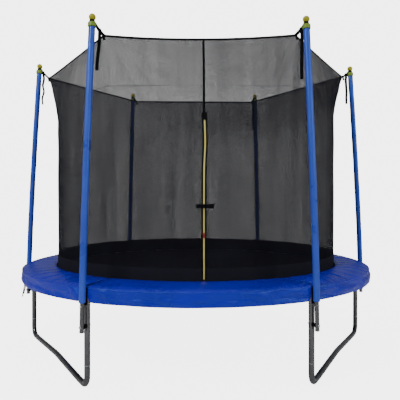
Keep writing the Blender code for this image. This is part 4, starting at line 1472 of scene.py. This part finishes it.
def makeSleeve(name):
    s = sleeveSettings
    low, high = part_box(f"pole_foam_{name}")
    lowZ, highZ = low.z + 0.0004, high.z - 0.0004
    side = sideways(stations[name])
    seed = stations[name] * 0.1
    rows, uvs = [], []

    def ring(height, radius, shape=0.0):
        centre = onPole(name, height)
        depth = leanAt(name, height).cross(side)
        row = []
        for k in range(s["sides"]):
            around = 2 * pi * k / s["sides"]
            dent = shape * (wobble(cos(around) * 1.3 + seed, sin(around) * 1.3, height * 9.0)
                            + 0.5 * wobble(cos(around) * 2.5, sin(around) * 2.5 + seed, height * 40.0))
            seamLift = 0.0007 * exp(-((around - pi * 1.1) / 0.10) ** 2) if shape else 0.0
            r = radius + dent + seamLift
            row.append(centre + side * r * cos(around) + depth * r * sin(around))
        rows.append(row)
        uvs.append([(s["radius"] * 2 * pi * k / s["sides"], height) for k in range(s["sides"])])

    ring(lowZ + 0.004, s["bore"])
    ring(lowZ + 0.0005, s["bore"] + 0.0008)
    ring(lowZ, s["radius"] - 0.0045)
    ring(lowZ + 0.0015, s["radius"] - 0.0018)
    ring(lowZ + 0.0045, s["radius"] - 0.0004)
    for i in range(s["rings"] + 1):
        ring(lowZ + 0.010 + (highZ - lowZ - 0.016) * i / s["rings"], s["radius"] - 0.0003, 0.0009)
    ring(highZ - 0.002, s["radius"] - 0.0012)
    ring(highZ, s["radius"] - 0.003)
    ring(highZ, s["bore"])
    mesh = gridMesh(f"poleSleeve_{name}", rows, True, True, uvs, False, 50.0)
    fixNormals(mesh)
    sleeve = addPiece(f"poleSleeve_{name}", mesh, materials["foam"], "frame",
                      [f"pole_foam_{name}"])


capSettings = {
    "collar": 0.0224,
    "neck": 0.009,
    "ball": 0.0190,
    "low": 1.9375,
    "high": 1.963,
    "centre": 1.991,
}


def makeCap(name):
    c = capSettings
    lean = leanAt(name, c["centre"])
    base = onPole(name, c["low"] + 0.0001)
    tall = (c["high"] - c["low"]) / lean.z
    ballAt = (c["centre"] - c["low"]) / lean.z
    collar = [(0.010, 0.0122), (0.0, 0.0122), (0.0, c["collar"] - 0.0012), (0.0012, c["collar"] - 0.0002),
              (0.004, c["collar"])]
    for k in range(9):
        around = pi / 2 * k / 8
        shoulder = 0.0135 + (c["collar"] - 0.0135) * cos(around) ** 0.8
        collar.append((tall - 0.0065 + 0.0065 * sin(around), shoulder))
    collar += [(tall + 0.0006, c["neck"] + 0.001), (tall + 0.001, 0.0)]
    addPiece(f"capCollar_{name}", turnedMesh("collar", collar, base, lean, 48), materials["collar"],
             "frame", [f"pole_cap_{name}"])
    ball = [(tall + 0.0004, 0.0), (tall + 0.0005, c["neck"]), (ballAt - c["ball"] * 0.86, c["neck"] - 0.0004)]
    for k in range(4, 25):
        around = pi * k / 24
        groove = 0.00035 if k == 12 else 0.0
        ball.append((ballAt - c["ball"] * cos(around), (c["ball"] - groove) * sin(around)))
    addPiece(f"capBall_{name}", turnedMesh("ball", ball, base, lean, 48), materials["cap"],
             "frame")


plugSettings = {"rim": 0.0128, "skirt": 0.0072}     # radius of its rim, and how far it reaches up the pole


def makePlug(name):
    # rounded grey end cap on the lower end of a pole
    base = onPole(name, poleSettings["foot"][1])
    rim, skirt, tube = plugSettings["rim"], plugSettings["skirt"], poleSettings["tube"]
    profile = [(-0.0042, 0.0), (-0.0038, rim * 0.42), (-0.0024, rim * 0.78), (0.0004, rim * 0.97),
               (0.003, rim), (0.0060, rim), (skirt, tube + 0.0005), (skirt, tube + 0.0001),
               (-0.0004, tube + 0.0001), (-0.0006, 0.0)]
    mesh = turnedMesh("plug", profile, base, leanAt(name, poleSettings["foot"][1] + 0.01), 40)
    addPiece(f"polePlug_{name}", mesh, materials["greyPlastic"], "frame")


fixingSettings = {
    "half": 0.013,
    "bolt": 0.004,
    "upper": 0.449,         # height of the upper bolt
    "upperBolt": 0.0034,
    "bush": 0.0075,
}


def makeBolt(label, start, end, radius, height, out):
    # a bolt along a radius of the frame, with a domed head outside and a nut inside
    head = end - 0.0045
    dome = [(start, 0.0), (start, radius * 0.8), (start + 0.0008, radius), (head, radius),
            (head, radius * 1.95), (head + 0.0012, radius * 1.88), (head + 0.0028, radius * 1.45),
            (head + 0.0040, radius * 0.8), (end, 0.0)]
    nut = [(start + 0.0012, 0.0), (start + 0.0012, radius * 1.65), (start + 0.0062, radius * 1.65),
           (start + 0.0062, 0.0)]
    parts = [turnedMesh("bolt", dome, up * height, out, 28),
             turnedMesh("nut", nut, up * height, out, 6, 20.0)]
    addPiece(label, joinMeshes(label, parts), materials["spring"], "frame")


def makeFixing(name):
    f = fixingSettings
    angle = stations[name]
    tube, poleTube, frameRadius = poleSettings["frameTube"], poleSettings["tube"], poleSettings["frameRadius"]
    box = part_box(f"pole_fixing_{name}")
    height = (box[0].z + box[1].z) / 2.0
    poleRadius = Vector(onPole(name, height).xy).length
    out, side = outward(angle), sideways(angle)
    inner, outer = frameRadius + tube * 0.55, poleRadius - poleTube * 0.55
    rows = []
    for step in range(11):
        t = step / 10
        radius = inner + (outer - inner) * t
        waist = 1.0 - 0.30 * sin(pi * t)
        ring = []
        for k in range(24):
            around = 2 * pi * k / 24
            a, b = cos(around), sin(around)
            squareness = max(abs(a), abs(b)) ** 0.7
            x, z = a / squareness * f["half"] * 0.93 * waist, b / squareness * f["half"] * 0.98 * waist
            curve = 0.0
            if t < 0.05:
                curve = (max(0.0, (tube + 0.0004) ** 2 - x * x)) ** 0.5 - tube * 0.55
            if t > 0.95:
                curve = poleTube * 0.55 - (max(0.0, (poleTube + 0.0004) ** 2 - x * x)) ** 0.5
            ring.append(out * (radius + curve) + side * x + up * (height + z))
        rows.append(ring)
    mesh = gridMesh("spacer", rows, False, True, None, True, 50.0)
    fixNormals(mesh)
    addPiece(f"poleSpacer_{name}", mesh, materials["plastic"], "frame",
             [f"pole_fixing_{name}"])
    makeBolt(f"poleBolt_{name}", frameRadius - tube - 0.0065, poleRadius + poleTube + 0.0055, f["bolt"],
             height, out)

    level = f["upper"]
    poleRadius = Vector(onPole(name, level).xy).length
    near, far = frameRadius + tube + 0.0003, poleRadius - poleTube - 0.0003
    wide = f["bush"]
    bush = [(near, 0.0), (near, wide - 0.0005), (near + 0.0005, wide), (far - 0.0005, wide),
            (far, wide - 0.0005), (far, 0.0)]
    addPiece(f"upperBush_{name}", turnedMesh("bush", bush, up * level, out, 24), materials["spring"],
             "frame")
    makeBolt(f"upperBolt_{name}", frameRadius - tube - 0.0055, poleRadius + poleTube + 0.0045,
             f["upperBolt"], level, out)


lipSettings = {"heights": (0.1301, 0.4615), "reach": 0.0009, "tall": 0.0032}


def makeJointRing(name):
    # the bright lip of a tube's end, where one tube goes into the next
    half, reach = lipSettings["tall"] / 2, lipSettings["reach"]
    tube = poleSettings["frameTube"]
    parts = []
    for height in lipSettings["heights"]:
        profile = [(-half, tube + 0.0001), (-half, tube + reach * 0.6), (0.0, tube + reach),
                   (half, tube + reach * 0.6), (half, tube + 0.0001)]
        base = polar(stations[name], poleSettings["frameRadius"], height)
        rows = []
        for rise, radius in profile:
            rows.append([base + up * rise + polar(360.0 * k / 32, radius, 0.0) for k in range(32)])
        parts.append(gridMesh("ring", rows, True, True))
    mesh = joinMeshes(f"jointRing_{name}", parts)
    fixNormals(mesh)
    addPiece(f"jointRing_{name}", mesh, materials["spring"], "frame")


print("stage: sleeves, caps, plugs and fixings")
for name in stationNames:
    makeSleeve(name)
    makeCap(name)
    makePlug(name)
    makeFixing(name)
    makeJointRing(name)
    # a black sheet in each slot: painted shade
    makeSlotShadeSheet(name)


# steel that stays as the frame has it

def dressSteel():
    for node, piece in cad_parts.items():
        if node.startswith(("top_rail", "leg_", "net_pole")):
            piece.data.materials.clear()
            piece.data.materials.append(materials["steel"])


print("stage: steel frame")
dressSteel()


# floor

def makeFloor():
    steps, rings = 96, 24
    rows = []
    for i in range(rings + 1):
        r = max(view["floorRadius"] * (i / rings) ** 1.5, 1e-3)
        rows.append([polar(360.0 * k / steps, r, -0.0006) for k in range(steps)])
    mesh = gridMesh("paleFloor", rows, False, True)
    fixNormals(mesh)
    made, tree, shader = newMaterial("paleFloor", (0.82, 0.82, 0.83), 0.9)
    nodes, links = tree.nodes, tree.links
    far = nodes.new("ShaderNodeVectorMath")
    far.operation = "LENGTH"
    links.new(coordinates(tree), far.inputs[0])
    fade = nodes.new("ShaderNodeMapRange")
    fade.interpolation_type = "SMOOTHERSTEP"
    fade.inputs["From Min"].default_value, fade.inputs["From Max"].default_value = view["floorFade"]
    links.new(far.outputs["Value"], fade.inputs["Value"])
    near = nodes.new("ShaderNodeEmission")
    nearStrength, fromCamera = seenStrength(tree, view["floorGlow"], 0.1)
    links.new(nearStrength, near.inputs["Strength"])
    distant = nodes.new("ShaderNodeEmission")
    links.new(seenStrength(tree, view["backdropGlow"], view["throughNet"])[0], distant.inputs["Strength"])
    lit = nodes.new("ShaderNodeAddShader")
    links.new(shader.outputs["BSDF"], lit.inputs[0])
    links.new(near.outputs["Emission"], lit.inputs[1])
    spread = nodes.new("ShaderNodeMixShader")
    links.new(fade.outputs["Result"], spread.inputs["Fac"])
    links.new(lit.outputs["Shader"], spread.inputs[1])
    links.new(distant.outputs["Emission"], spread.inputs[2])
    seen = nodes.new("ShaderNodeMixShader")
    links.new(fromCamera, seen.inputs["Fac"])
    links.new(shader.outputs["BSDF"], seen.inputs[1])
    links.new(spread.outputs["Shader"], seen.inputs[2])
    links.new(seen.outputs["Shader"], nodes["Material Output"].inputs["Surface"])
    mesh.materials.append(made)
    floor = bpy.data.objects.new("paleFloor", mesh)
    bpy.context.scene.collection.objects.link(floor)


print("stage: floor")
makeFloor()
